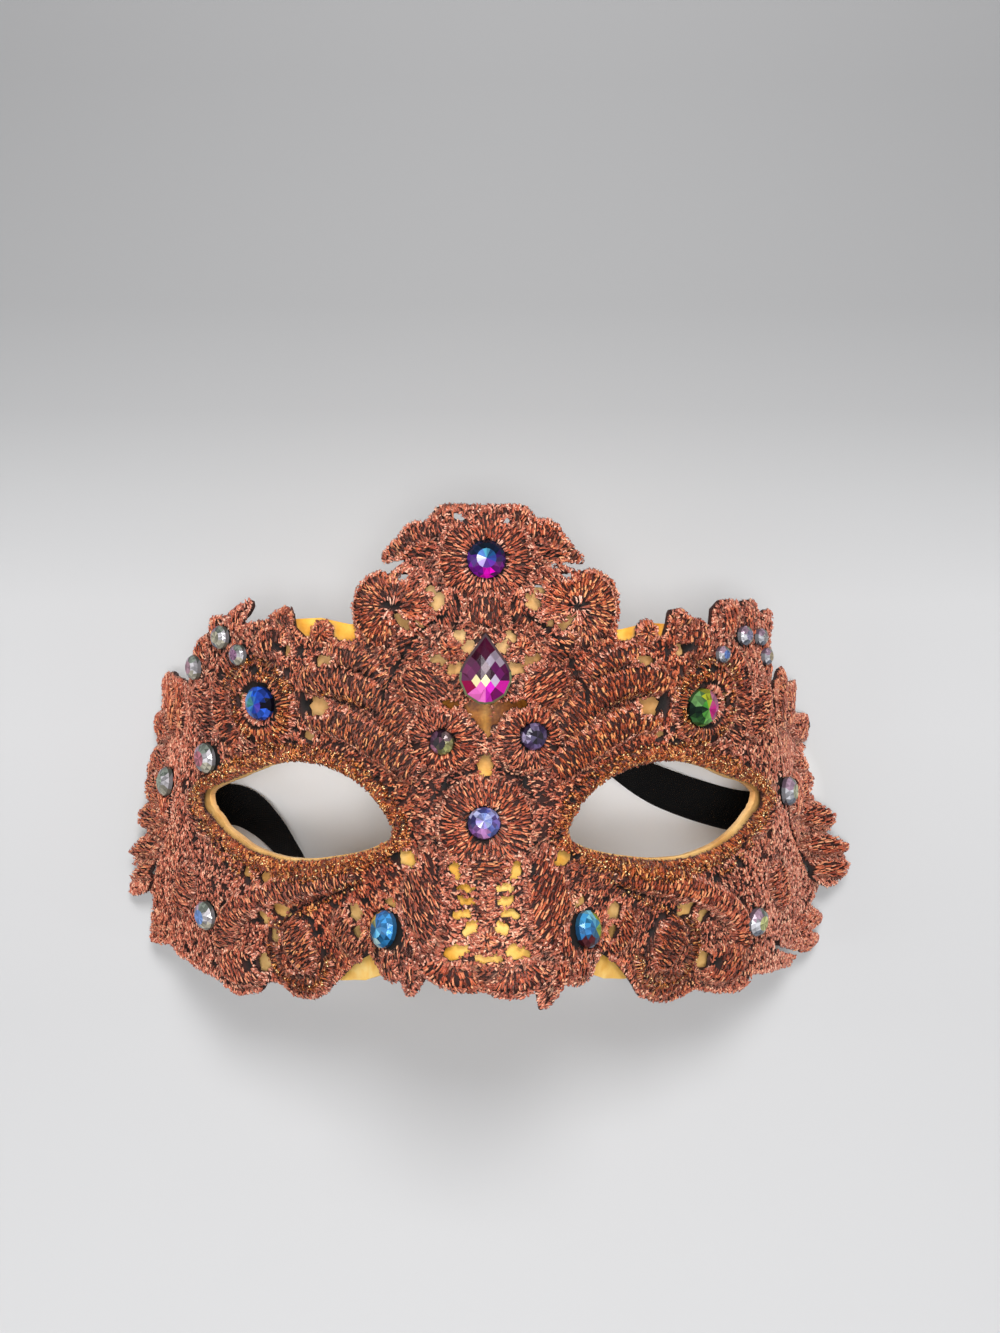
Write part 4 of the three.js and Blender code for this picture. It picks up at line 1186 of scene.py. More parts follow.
def glitter():
    """Gold and copper flakes, each with its own colour."""
    material, nodes, shader = new_material("copper_glitter", Metallic=0.55, Roughness=0.25)
    colour = nodes.ramp(
        nodes.attribute("tone"), (0.15, paint(36, 12, 5)), (0.45, paint(128, 56, 20)),
        (0.7, paint(214, 134, 58)), (0.92, paint(255, 226, 166)),
    )
    worn = nodes.maths("MULTIPLY", nodes.grain(300, 0.2), 0.3)
    nodes.feed(shader.inputs["Base Color"], nodes.mix(worn, colour, paint(176, 96, 40)))
    return material


# The oval of painted light on the floor under the mask, in metres: its narrowing along X, its middle,
# and the distances from that middle at which the pale colour starts and is full
PALE_NARROWING = (0.48, 1, 0)
PALE_MIDDLE = (0, -0.017, 0)
PALE_FROM = 0.0385
PALE_FULL = 0.03


def pale_floor():
    """A plain pale sweep, with painted shade that darkens it far behind the crest and painted light that
    makes it palest under the mask, where little light gets in.
    """
    material, nodes, shader = new_material("pale_floor", Roughness=0.55)
    where = nodes.add("ShaderNodeTexCoord").outputs["Object"]
    behind = nodes.add("ShaderNodeSeparateXYZ", {"Vector": where}).outputs["Y"]
    # Painted shade: the floor's colour darkens far behind the crest
    shaded_sweep = nodes.ramp(
        nodes.stretched(behind, -0.15, 0.15), (0.0, paint(198, 198, 199)), (0.27, paint(187, 187, 188)),
        (0.5, paint(185, 185, 186)), (0.6, paint(180, 180, 181)), (0.68, paint(165, 165, 166)),
        (0.75, paint(147, 147, 148)), (0.83, paint(134, 134, 135)), (1.0, paint(126, 126, 127)),
    )
    squeezed = nodes.add("ShaderNodeVectorMath", {0: where, 1: PALE_NARROWING}, operation="MULTIPLY")
    inputs = {0: squeezed.outputs[0], 1: PALE_MIDDLE}
    away = nodes.add("ShaderNodeVectorMath", inputs, operation="DISTANCE").outputs["Value"]
    # Painted light: a pale oval on the floor under the mask
    sweep_with_painted_light = nodes.mix(nodes.stretched(away, PALE_FROM, PALE_FULL), shaded_sweep, paint(244, 246, 248))
    speckle = nodes.maths("MULTIPLY", nodes.grain(2), 0.06)
    nodes.feed(shader.inputs["Base Color"], nodes.mix(speckle, sweep_with_painted_light, paint(150, 150, 150)))
    return material


# The stage: camera, light and floor
CAMERA_AT = (-6.47, 52.08, 374.46)
CAMERA_TURN = -0.8
CAMERA_LEAN = -5.664
CAMERA_PAN = -0.4865
CAMERA_LENS = 42.94


def set_camera():
    camera = bpy.data.objects.new("camera", bpy.data.cameras.new("camera"))
    bpy.context.collection.objects.link(camera)
    turn = Matrix.Rotation(math.radians(CAMERA_TURN), 4, "Y")
    lean = Matrix.Rotation(math.radians(CAMERA_LEAN), 4, "X")
    pan = Matrix.Rotation(math.radians(CAMERA_PAN), 4, "Y")
    camera.matrix_world = Matrix.Translation(MM * Vector(CAMERA_AT)) @ turn @ lean @ pan
    camera.data.lens = CAMERA_LENS
    camera.data.sensor_width = 36
    camera.data.clip_start = 0.01
    bpy.context.scene.camera = camera


def add_softbox(name, at, towards, size, power):
    lamp = bpy.data.lights.new(name, "AREA")
    lamp.size = size
    lamp.energy = power
    box = bpy.data.objects.new(name, lamp)
    box.location = at
    box.rotation_mode = "QUATERNION"
    box.rotation_quaternion = (Vector(towards) - Vector(at)).to_track_quat("-Z", "Y")
    bpy.context.collection.objects.link(box)


def set_light():
    middle = (0, 0, 0.05)
    add_softbox("crest_softbox", (0.05, 0.55, 0.85), middle, 0.3, 7.5)
    add_softbox("top_softbox", (0.0, 0.06, 0.92), middle, 0.25, 4.4)
    add_softbox("left_softbox", (-0.8, 0.0, 0.6), middle, 0.5, 1.6)
    add_softbox("right_softbox", (0.8, 0.0, 0.6), middle, 0.5, 0.9)
    add_softbox("chin_softbox", (0, -0.9, 0.3), (0, 0, 0.02), 0.7, 0.6)
    world = bpy.data.worlds.new("studio")
    world.use_nodes = True
    background = world.node_tree.nodes["Background"]
    background.inputs["Color"].default_value = (0.97, 0.98, 1, 1)
    background.inputs["Strength"].default_value = 0.28
    bpy.context.scene.world = world
    bpy.context.scene.view_settings.view_transform = "Standard"


def set_floor():
    deselect_all()
    bpy.ops.mesh.primitive_plane_add(size=4)
    floor = bpy.context.object
    floor.name = "floor"
    floor.data.materials.append(pale_floor())


# The strap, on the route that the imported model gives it: x, v and roll on the floor, u on the wall of
# the shell, and x, v and height where it comes off that wall
STRAP_ROUTE = [
    (-67.5, -11.6, 0), (-62, -12.4, 0), (-56.5, -13.2, 8), (-51, -17, 30), (-46, -22.8, 48),
    (-40.5, -29.4, 66), (-33, -35, 84), (-23, -37.4, 90), (-12, -34.6, 90), (-5, -26, 90),
    (-2.5, -14, 90), (-4, 0, 90), (-7, 14, 90), (-6, 27, 90), (1.5, 35, 90), (11, 35, 90),
    (17.5, 27.5, 90), (20.5, 16, 82), (24.5, 6.4, 66), (30, -0.6, 48), (36, -5, 32), (43, -8.8, 14),
    (52, -12.2, 4), (61, -14.6, 0), (67.5, -15, 0),
]
STRAP_WALL = [84, 88.5, 93]
STRAP_WALL_V = {"left": -11, "right": -14.5}
STRAP_OFF_WALL = {
    "left": [(-72.3, -11, 6), (-71.2, -11.2, 2.3)],
    "right": [(71.2, -14.8, 2.3), (72.3, -14.6, 6)],
}


def strap_points():
    """The strap's centre line and its roll, from inside the left wall to inside the right one."""
    depth = -SHELL_THICKNESS - STRAP_GAP - STRAP_THICKNESS / 2
    left = [place(-u, STRAP_WALL_V["left"], depth) / MM for u in STRAP_WALL]
    right = [place(u, STRAP_WALL_V["right"], depth) / MM for u in reversed(STRAP_WALL)]
    centre = np.array([MIDDLE_X, MIDDLE_V, 0])
    route = []
    for x, v, roll in STRAP_ROUTE:
        turn = math.radians(roll)
        height = STRAP_WIDTH / 2 * math.sin(turn) + STRAP_THICKNESS / 2 * math.cos(turn) + FLOOR_GAP
        route.append(np.array([x, v, height]) - centre)
    off_left, off_right = (np.array(STRAP_OFF_WALL[side]) - centre for side in ("left", "right"))
    flat = [0.0] * (len(left) + len(off_left))
    rolls = [*flat, *(math.radians(roll) for _, _, roll in STRAP_ROUTE), *flat]
    return np.array([*left, *off_left, *route, *off_right, *right]), rolls


def make_strap(material):
    """A ribbon with thin edges, drawn along the strap's centre line."""
    points, rolls = strap_points()
    path, where = curve_through(points, STRAP_STEPS + 1)
    roll = np.interp(where, np.arange(len(rolls)), rolls)[:, None]
    along = unit(np.gradient(path, axis=0))
    level = unit(np.column_stack([-along[:, 1], along[:, 0], np.zeros(len(along))]))
    width = level * np.cos(roll) + np.array([0, 0, 1]) * np.sin(roll)
    face = np.cross(along, width)
    half, thick = STRAP_WIDTH / 2, STRAP_THICKNESS / 2
    edge = half - STRAP_EDGE
    ring = [
        (-half, 0), (-edge, -thick), (-half / 3, -thick), (half / 3, -thick), (edge, -thick), (half, 0),
        (edge, thick), (half / 3, thick), (-half / 3, thick), (-edge, thick),
    ]
    sides = len(ring)
    rows = np.array([path + width * a + face * b for a, b in ring]).transpose(1, 0, 2)
    faces = [
        (sides * i + k, sides * i + (k + 1) % sides, sides * (i + 1) + (k + 1) % sides, sides * (i + 1) + k)
        for i in range(STRAP_STEPS) for k in range(sides)
    ]
    last = sides * STRAP_STEPS
    faces += [tuple(reversed(range(sides))), tuple(range(last, last + sides))]
    mesh = bpy.data.meshes.new("strap_ribbon")
    mesh.from_pydata(MM * rows.reshape(-1, 3), [], faces)
    mesh.update()
    run = np.concatenate([[0], np.cumsum(np.linalg.norm(np.diff(path, axis=0), axis=1))])
    add_attribute(mesh, "along", np.repeat(run, sides))
    add_attribute(mesh, "across", np.tile([a for a, _ in ring], STRAP_STEPS + 1))
    obj = bpy.data.objects.new("strap_ribbon", mesh)
    bpy.context.collection.objects.link(obj)
    finish_piece(obj, "strap_ribbon", material, ["strap"])
    for polygon in mesh.polygons:
        polygon.use_smooth = True


# The shell
def unevenness(u, v):
    """The shallow waves of paper that was laid by hand."""
    waves = 0.12 * np.sin(0.7 * u + 2 * np.sin(0.31 * v))
    return waves + 0.1 * np.sin(0.83 * v + 1.7 * np.sin(0.23 * u))


def gold_shares(u, v):
    """How much painted shade browns the gold, which it does under the lace and most of all below the
    drop-shaped stone, and how far the pale paper shows through it, at the eye rims and under the brows and
    sides."""
    a = np.abs(u)
    under_lace = smooth(np.minimum(for_its_side(front_forms, u, v), from_seam(u, v)) / 1.5)
    under_teardrop = smooth((10 - a) / 3) * smooth((v - 4) / 6) * smooth((24 - v) / 4)
    # Painted shade: the gold is browner under the lace and below the drop-shaped stone
    shaded_gold = smooth((34 - v) / 6) * (0.15 + 0.5 * smooth((v - 2) / 8)) + 0.4 * under_teardrop
    rim = 0.5 * smooth((0.9 - np.abs(eye_hole(u, v))) / 0.5)
    in_middle = smooth((18 - a) / 5) * smooth((25 - v) / 3)
    bare = (0.6 + 0.25 * smooth((v - 26) / 6)) * under_lace * (1 - in_middle)
    return under_lace * np.minimum(1, shaded_gold), np.maximum(rim, bare)


def make_shell(material):
    """The papier-mache shell, gilt on its face and bare paper on its inside."""
    outline = mirrored(area(SHELL))

    def covers(u, v):
        _, z, _ = section(u)
        above = z + stand_out(u, v) - SHELL_THICKNESS
        dropped = v + by_side(SHELL_TOP_DROP, u) * smooth((v - 20) / 10)
        return np.min([outline(u, dropped), 0.3 - eye_hole(u, v), above + 1.5], axis=0)

    obj = cut_sheet(covers, SHELL_STEP, SHELL_REACH, SHELL_LOW, SHELL_HIGH, (0, 38))
    flat = points_of(obj.data)
    shaded_gold, bare = gold_shares(flat[:, 0], flat[:, 1])
    wrap_sheet(obj, lambda u, v: unevenness(u, v) - 0.15, PAPER_THICKNESS, 0)
    add_attribute(obj.data, "painted_shade_under_lace", np.tile(shaded_gold, 2))
    add_attribute(obj.data, "inside", np.concatenate([bare, np.ones(len(bare))]))
    angle = math.radians(50)
    apply_modifier(obj, "BEVEL", width=0.4 * MM, segments=2, limit_method="ANGLE", angle_limit=angle)
    bpy.ops.object.shade_smooth_by_angle(angle=angle)
    finish_piece(obj, "gilt_shell", material, ["mask_base"])


# The lace
def make_net(name, covers, under, relief, painted_dark_form, material, seed, replaced):
    """The dark ground of one layer of lace, cut to its outline and raised under its motifs."""

    def clear(u, v):
        _, z, angle = section(u)
        above = z + (stand_out(u, v) + under(u, v)) * np.cos(angle)
        return np.minimum(covers(u, v), above - FLOOR_GAP)

    obj = cut_sheet(clear, NET_STEP, LACE_REACH + 3, LACE_LOW, LACE_HIGH, seed)
    flat = points_of(obj.data)
    u, v = flat[:, 0], flat[:, 1]
    # Painted shade: the net is painted near black in its pits and in a ring round each stone
    pit_and_painted_shade = smooth(painted_dark_form(u, v) / 0.5 + 0.5) * (seats(u, v) < 0)
    ring = smooth((seats(u, v) + SEAT_SHADOW + 0.4) / 0.4)
    add_attribute(obj.data, "pit_and_painted_shade", np.maximum(pit_and_painted_shade, ring))

    def heights(u, v):
        return under(u, v) + NET_TOP + relief(u, v) - NET_SINK - PIT_DEPTH * pit_and_painted_shade

    wrap_sheet(obj, heights, NET_THICKNESS, FLOOR_GAP)
    bpy.ops.object.shade_smooth_by_angle(angle=math.radians(50))
    finish_piece(obj, name, material, replaced)


def model_stitch():
    """One stitch along X from 0 to 1, a unit wide and high: a grain of nine faces, pointed at its ends."""
    deselect_all()
    bpy.ops.mesh.primitive_cylinder_add(
        vertices=3, radius=1, depth=1, location=(0.5, 0, 0), rotation=(0, math.pi / 2, 0)
    )
    obj = bpy.context.object
    bpy.ops.object.transform_apply()
    bpy.ops.object.mode_set(mode="EDIT")
    for cut in (0.25, 0.75):
        bpy.ops.mesh.select_all(action="SELECT")
        bpy.ops.mesh.bisect(plane_co=(cut, 0, 0), plane_no=(1, 0, 0))
    bpy.ops.object.mode_set(mode="OBJECT")
    for end in (0, 1):
        select_points(obj.data, np.abs(points_of(obj.data)[:, 0] - end) < 0.01)
        bpy.ops.object.mode_set(mode="EDIT")
        bpy.ops.mesh.merge(type="CENTER")
        bpy.ops.object.mode_set(mode="OBJECT")
    points = points_of(obj.data)
    points[:, 1:] -= points[:, 1:].min(axis=0)
    points[:, 1:] /= points[:, 1:].max(axis=0)
    if (points[:, 2] > 0.9).sum() > (points[:, 2] < 0.1).sum():
        points[:, 1:] = 1 - points[:, 1:]
    points[:, 1] -= 0.5
    faces = [tuple(polygon.vertices) for polygon in obj.data.polygons]
    bpy.data.objects.remove(obj)
    return points, faces


def copies_mesh(name, rows_of_points, faces, attributes):
    """One mesh of many copies: an array (copies, points, 3) and the faces of one copy."""
    count, size = rows_of_points.shape[:2]
    mesh = bpy.data.meshes.new(name)
    mesh.vertices.add(count * size)
    mesh.vertices.foreach_set("co", np.ascontiguousarray(rows_of_points, np.float32).ravel())
    corners = np.concatenate([np.asarray(face) for face in faces])
    starts = np.concatenate([[0], np.cumsum([len(face) for face in faces])[:-1]])
    shift = np.arange(count)[:, None]
    mesh.loops.add(count * len(corners))
    mesh.loops.foreach_set("vertex_index", (corners[None, :] + size * shift).astype(np.int32).ravel())
    mesh.polygons.add(count * len(faces))
    mesh.polygons.foreach_set("loop_start", (starts[None, :] + len(corners) * shift).astype(np.int32).ravel())
    mesh.update(calc_edges=True)
    for attribute, values in attributes.items():
        add_attribute(mesh, attribute, np.broadcast_to(values, (count, size)).ravel())
    obj = bpy.data.objects.new(name, mesh)
    bpy.context.collection.objects.link(obj)
    return obj


def trimmed(rows, covers):
    """Stitches with their ends pulled back where they would hang in the air, none over a window."""
    rows = rows.copy()
    reach_in = np.where(rows[:, 4] > 0, 0.15, LOOP_REACH)
    ends = (slice(0, 2), slice(2, 4))
    for _ in range(2):
        middle = middles(rows)
        for end in ends:
            over = value_at(covers, rows[:, end]) < -0.5
            over |= value_at(windows, rows[:, end]) > reach_in
            rows[over, end] = 0.55 * rows[over, end] + 0.45 * middle[over]
    kept = value_at(covers, middles(rows)) > -0.1
    for end in ends:
        kept &= value_at(covers, rows[:, end]) > -0.75
        kept &= value_at(windows, rows[:, end]) < reach_in + 0.15
    kept &= np.hypot(rows[:, 0] - rows[:, 2], rows[:, 1] - rows[:, 3]) > 0.5
    return rows[kept]


def lay_stitches(name, rows, heights, edges, material, stitch, sunk_share=SUNK_SHARE):
    """Copies the one stitch along every row, bowed up in its middle and down at its ends, with painted light
    on its top and painted shade at its ends and near the edges of motifs. A share of the stitches lies sunk
    between the others, painted darker as shade."""
    points, faces = stitch
    along, across_it, up = (points[None, :, i] for i in range(3))
    count = len(rows)
    start, run = rows[:, None, 0:2], rows[:, None, 2:4] - rows[:, None, 0:2]
    length = np.linalg.norm(run, axis=2)
    side = np.stack([-run[..., 1], run[..., 0]], -1) / length[..., None]
    bow = 4 * along * (1 - along)
    width = THREAD_WIDTH * random.uniform(0.75, 1.25, (count, 1))
    bend = random.normal(0, 0.2, (count, 1)) * length
    spot = start + run * along[..., None] + side * (bend * bow)[..., None]
    flat = spot + side * (across_it * width)[..., None]
    sunk = random.random((count, 1)) < sunk_share
    sunk &= rows[:, 4:5] > 0
    lift = np.where(sunk, random.uniform(-0.35, -0.15, (count, 1)), random.uniform(-0.05, 0.25, (count, 1)))
    base = heights(spot[..., 0].ravel(), spot[..., 1].ravel()).reshape(count, -1)
    height = base - 0.35 + lift + (0.22 + 0.06 * length) * bow + THREAD_HEIGHT * up
    places = place(flat[..., 0], flat[..., 1], height)
    places[..., 2] = np.maximum(places[..., 2], FLOOR_GAP * MM)
    # Painted light on the top of each stitch and painted shade at its ends
    painted_shading = np.where(bow > 0.5, 0.5 + 0.5 * up, 0.04)
    from_edge = edges(spot[:, 2, 0], spot[:, 2, 1])[:, None]
    # Painted shade along the edges of motifs
    painted_crease_shade = np.where(rows[:, 4:5] > 0, CREASE_SHADE * (1 - smooth(from_edge / CREASE_WIDTH)), 0)
    attributes = {
        # Sunk stitches are painted darker, as shade
        "tone": random.beta(1.3, 1.3, (count, 1)) * np.where(sunk, 0.5, 1),
        "painted_shading": painted_shading * np.where(sunk, 0.5, 1) * (1 - painted_crease_shade),
        "tint": rows[:, 4:5],
    }
    obj = copies_mesh(name, places, faces, attributes)
    obj.data.polygons.foreach_set("use_smooth", np.ones(len(obj.data.polygons), bool))
    finish_piece(obj, name, material)


def motif_rows():
    """The stitches of all motifs, without those that a later motif hides."""
    kept_rows = []
    for i, (outline, _, laid_rows) in enumerate(motifs):
        low = laid_rows[:, 0:2].min(axis=0) - 1.5
        high = laid_rows[:, 0:2].max(axis=0) + 1.5
        rows = np.vstack([laid_rows, edging(outline, low, high)])
        middle = middles(rows)
        shown = np.ones(len(rows), bool)
        for form, _, _ in motifs[i + 1 :]:
            shown &= value_at(form, middle) < 0.2
        kept_rows.append(rows[shown])
    return np.vstack(kept_rows)


def rim_rows():
    """Short stitches across the rolled rim of each eye hole."""
    rows = []
    for side in (-1, 1):
        outline, away = eye_line(eye_outline, side)
        path = (outline + away * (RIM_WIDTH / 2)) * [side, 1]
        rows.append(across(RIM_WIDTH, path, 0.7, lean=25, closed=True))
    return np.vstack(rows)


def open_net(u, v):
    """A pattern of soft patches. The net is left open where it is highest."""
    return np.sin(2.3 * u + 1.6 * np.sin(0.9 * v)) * np.sin(1.9 * v + 1.6 * np.sin(1.1 * u))


def ground_rows(covers, count, reach, low, high, taken):
    """Short stitches of the net between the motifs, most of them pointing away from the eye or, at the
    sides, upwards."""
    u = random.uniform(-reach, reach, count)
    v = random.uniform(low, high, count)
    kept = (covers(u, v) > 0.1) & (taken(u, v) < 0.4) & (seats(u, v) < -0.2) & (open_net(u, v) < OPEN_NET)
    u, v = u[kept], v[kept]
    out = np.where(np.abs(u) > SIDES_START, UPRIGHT, np.arctan2(v + 4, np.abs(u) - 40))
    angle = np.where(u > 0, out, math.pi - out) + random.normal(0, 0.45, len(u))
    half = random.uniform(0.35, 0.8, len(u))
    arm = np.column_stack([np.cos(angle), np.sin(angle)]) * half[:, None]
    spot = np.column_stack([u, v])
    return stitch_rows(spot - arm, spot + arm, 0.15)


def leaf_rows(shapes, side):
    """Stitches that cross each leaf and lean towards its tip."""
    rows = np.vstack([
        filled(ellipse(u, v, along, over, turn), u, v, along + 1, turn + FEATHER_LEAN)
        for u, v, along, over, turn in shapes
    ])
    rows[:, [0, 2]] *= side
    return rows


def off_pits(rows):
    """Leaves out the stitches whose middle lies in a pit, under a stone or in the ring of painted shade round
    it.
    """
    u, v = middles(rows).T
    return rows[(painted_dark_pits(u, v) < 0.05) & (seats(u, v) < -SEAT_SHADOW)]


def make_front_lace(net_material, thread, stitch):
    """The layer that covers the face, its stitches parted into five pieces from left to right."""
    make_net(
        "front_lace_net", front_cover, front_under, front_relief, painted_dark_pits, net_material, (0, 37), ["front_lace"]
    )

    def heights(u, v):
        return front_under(u, v) + NET_TOP + front_relief(u, v)

    corner_rows = [leaf_rows(CORNER_FEATHERS, side) for side in (-1, 1)]
    ground = ground_rows(front_cover, GROUND_STITCHES, LACE_REACH, LACE_LOW + 0.5, LACE_HIGH, motif_area)
    border = edging(front_cover, (-LACE_REACH, LACE_LOW), (LACE_REACH, LACE_HIGH))
    rows = np.vstack([ground, motif_rows(), rim_rows(), *corner_rows, border])
    rows = off_pits(trimmed(rows, front_cover))
    u, v = middles(rows).T
    a = np.abs(u)
    coppered = BROW_COPPER * smooth((a - COPPER_FROM) / COPPER_FADE) * smooth((COPPER_TO - a) / COPPER_FADE)
    rows[:, 4] += np.where(rows[:, 4] > 0, coppered, 0)
    rows[dusted(u, v) > random.normal(0, 0.5, len(rows)), 4] = 1
    parts = {
        "left_side_stitches": u < -BROW_REACH,
        "left_brow_stitches": (u >= -BROW_REACH) & (u < -MIDDLE_REACH),
        "middle_stitches": a <= MIDDLE_REACH,
        "right_brow_stitches": (u > MIDDLE_REACH) & (u <= BROW_REACH),
        "right_side_stitches": u > BROW_REACH,
    }
    for name, chosen in parts.items():
        lay_stitches(name, rows[chosen], heights, from_motif_edges, thread, stitch)


def make_wing_lace(side, net_material, thread, stitch):
    """One side's own layer, which comes out from under the front lace at the seam."""
    sign = 1 if side == "right" else -1
    covers = wing_cover(side)

    def wing_painted_dark_pits(u, v):
        """The pits, and the shadow under the front lace along the seam, both painted dark on the net."""
        shadow = SEAM_SHADOW[side] * (1 - over_front(u)) - 0.5 * over_front(u)
        return np.maximum(painted_dark_pits(u, v), from_wing_edge(u, v) + shadow)

    make_net(
        f"{side}_wing_net", covers, wing_under, wing_relief, wing_painted_dark_pits, net_material, (88 * sign, 0),
        [f"{side}_wing_lace"],
    )
    ground = ground_rows(covers, WING_STITCHES, LACE_REACH, WING_LOW, WING_HIGH, feathers)
    near, far = sorted((70 * sign, LACE_REACH * sign))
    borders = [edging(form, (near, WING_LOW - 1), (far, WING_HIGH)) for form in (covers, feathers)]
    rows = off_pits(trimmed(np.vstack([ground, leaf_rows(FEATHERS, sign), *borders]), covers))
    rows = rows[value_at(wing_painted_dark_pits, middles(rows)) < 0.2]

    def heights(u, v):
        return wing_under(u, v) + NET_TOP + wing_relief(u, v)

    name = f"{side}_wing_stitches"
    lay_stitches(name, rows, heights, from_feather_edges, thread, stitch, WING_SUNK_SHARE)


# Glitter: flakes per square millimetre of a band, flakes round one eye, and flakes round one temple
# stone, where they lie in clumps that stand nearer and farther by turns
FLAKES_PER_AREA = 2.6
EYE_FLAKES = 1700
TEMPLE_FLAKES = 340
CLUMPS = 7
CLUMP_RADIUS = 6.8
CLUMP_STAGGER = 1.6


def glitter_spots():
    """Places of the flakes: round the eyes, along the scrolls and round the temple stones."""
    spots = []
    dense_outline, _ = curve_through(EYE, EYE_FLAKES, closed=True)
    for side in (-1, 1):
        outline, away = eye_line(dense_outline, side)
        outline += away * random.uniform(0.2, RIM_WIDTH + 1.4, (len(outline), 1))
        spots.append(outline * [side, 1])
        for width, points in GLITTER_PATHS:
            length = np.linalg.norm(np.diff(points, axis=0), axis=1).sum()
            path, _ = curve_through(points, int(FLAKES_PER_AREA * length * width))
            spots.append((path + random.normal(0, width / 4, path.shape)) * [side, 1])
        clump = random.integers(0, CLUMPS, TEMPLE_FLAKES)
        angle = clump * 2 * math.pi / CLUMPS + random.normal(0, 0.22, TEMPLE_FLAKES)
        radius = CLUMP_RADIUS + CLUMP_STAGGER * (clump % 2) + random.normal(0, 0.7, TEMPLE_FLAKES)
        circle = np.column_stack([radius * np.cos(angle), radius * np.sin(angle)])
        spots.append((circle + TEMPLE_FLOWER) * [side, 1])
    spots = np.vstack(spots)
    u, v = spots.T
    kept = (front_cover(u, v) > 0.2) & (seats(u, v) < 0) & (painted_dark_pits(u, v) < 0)
    return spots[kept]


def model_flake():
    """One flake: an uneven crystal of a few faces, about a unit across."""
    deselect_all()
    bpy.ops.mesh.primitive_ico_sphere_add(subdivisions=1, radius=0.5)
    obj = bpy.context.object
    bpy.ops.object.mode_set(mode="EDIT")
    bpy.ops.mesh.decimate(ratio=0.4)
    bpy.ops.object.mode_set(mode="OBJECT")
    points = points_of(obj.data) * [1, 0.8, 0.6]
    faces = [tuple(polygon.vertices) for polygon in obj.data.polygons]
    bpy.data.objects.remove(obj)
    return points, faces


def make_glitter(material):
    """Copies the one flake to every place, each with a size and a tilt of its own."""
    points, faces = model_flake()
    spots = glitter_spots()
    count = len(spots)
    u, v = spots[:, 0], spots[:, 1]
    height = front_under(u, v) + NET_TOP + front_relief(u, v) + random.uniform(0.05, 0.4, count)
    axes = unit(random.normal(0, 0.5, (count, 3)) + [0, 0, 1])
    first = unit(np.cross(axes, random.normal(0, 1, (count, 3))))
    second = np.cross(axes, first)
    turned = (
        points[None, :, 0:1] * first[:, None] + points[None, :, 1:2] * second[:, None]
        + points[None, :, 2:3] * axes[:, None]
    )
    size = random.uniform(0.35, 0.85, (count, 1, 1))
    _, _, angle = section(u)
    centre = place(u, v, height)
    cos, sin = np.cos(angle)[:, None], np.sin(angle)[:, None]
    x, y, z = np.moveaxis(turned * size, -1, 0)
    tilted = np.stack([x * cos + z * sin, y, z * cos - x * sin], -1)
    tones = random.beta(0.9, 1.1, (count, 1))
    obj = copies_mesh("glitter", centre[:, None] + MM * tilted, faces, {"tone": tones})
    finish_piece(obj, "glitter", material)


# Stones
def seat_matrix(u, v, w):
    """The turn and place of something flat that sits on the face, in metres."""
    step = 0.5
    right = Vector(place(u + step, v, w) - place(u - step, v, w)).normalized()
    up = Vector(place(u, v + step, w) - place(u, v - step, w)).normalized()
    out = right.cross(up).normalized()
    up = out.cross(right).normalized()
    turn = Matrix((right, up, out)).transposed().to_4x4()
    return Matrix.Translation(Vector(place(u, v, w))) @ turn


def colour_facets(obj, colour_of):
    """Gives every facet one colour, its glass colour with a painted flash of light, chosen by its middle and
    its normal on the stone.
    """
    mesh = obj.data
    layer = mesh.color_attributes.new("tint_and_painted_flash", "FLOAT_COLOR", "CORNER")
    for polygon in mesh.polygons:
        colour = colour_of(polygon.center, polygon.normal)
        for loop in polygon.loop_indices:
            layer.data[loop].color = colour


def select_faces(mesh, chosen):
    """Selects the faces for which chosen(middle, normal) is true, ready for edit mode."""
    bpy.context.tool_settings.mesh_select_mode = (False, False, True)
    mesh.vertices.foreach_set("select", np.zeros(len(mesh.vertices), bool))
    mesh.edges.foreach_set("select", np.zeros(len(mesh.edges), bool))
    for polygon in mesh.polygons:
        polygon.select = chosen(polygon.center, polygon.normal)


# A round stone: its sides, the height of its girdle, and each tier of its crown as how much narrower
# it gets and how high it rises for each unit of radius
STONE_SIDES = 16
GIRDLE = 0.9
CROWN_TIERS = [(0.82, 0.24), (0.62, 0.16)]


def cut_round_stone(radius):
    """A round brilliant with a flat back: a girdle, the tiers of its crown and a table in equal parts."""
    deselect_all()
    bpy.ops.mesh.primitive_cylinder_add(
        vertices=STONE_SIDES, radius=radius, depth=GIRDLE, location=(0, 0, GIRDLE / 2)
    )
    obj = bpy.context.object
    bpy.ops.object.transform_apply()
    mesh = obj.data
    half_step = math.pi / STONE_SIDES
    select_faces(mesh, lambda middle, normal: normal.z > 0.9)
    bpy.ops.object.mode_set(mode="EDIT")
    for shrink, rise in CROWN_TIERS:
        bpy.ops.mesh.extrude_region_move(TRANSFORM_OT_translate={"value": (0, 0, rise * radius)})
        bpy.ops.transform.resize(value=(shrink, shrink, 1))
        bpy.ops.transform.rotate(value=half_step, orient_axis="Z", center_override=(0, 0, 0))
    bpy.ops.mesh.poke()
    bpy.ops.mesh.select_all(action="SELECT")
    bpy.ops.mesh.quads_convert_to_tris(quad_method="FIXED")
    bpy.ops.mesh.normals_make_consistent(inside=False)
    bpy.ops.object.mode_set(mode="OBJECT")
    return obj


def set_stone(name, obj, at, material):
    """Sets a finished stone on its seat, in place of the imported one."""
    obj.data.transform(Matrix.Scale(MM, 4))
    obj.data.transform(seat_matrix(*at))
    finish_piece(obj, name, material, [name.replace("_glass", "")])
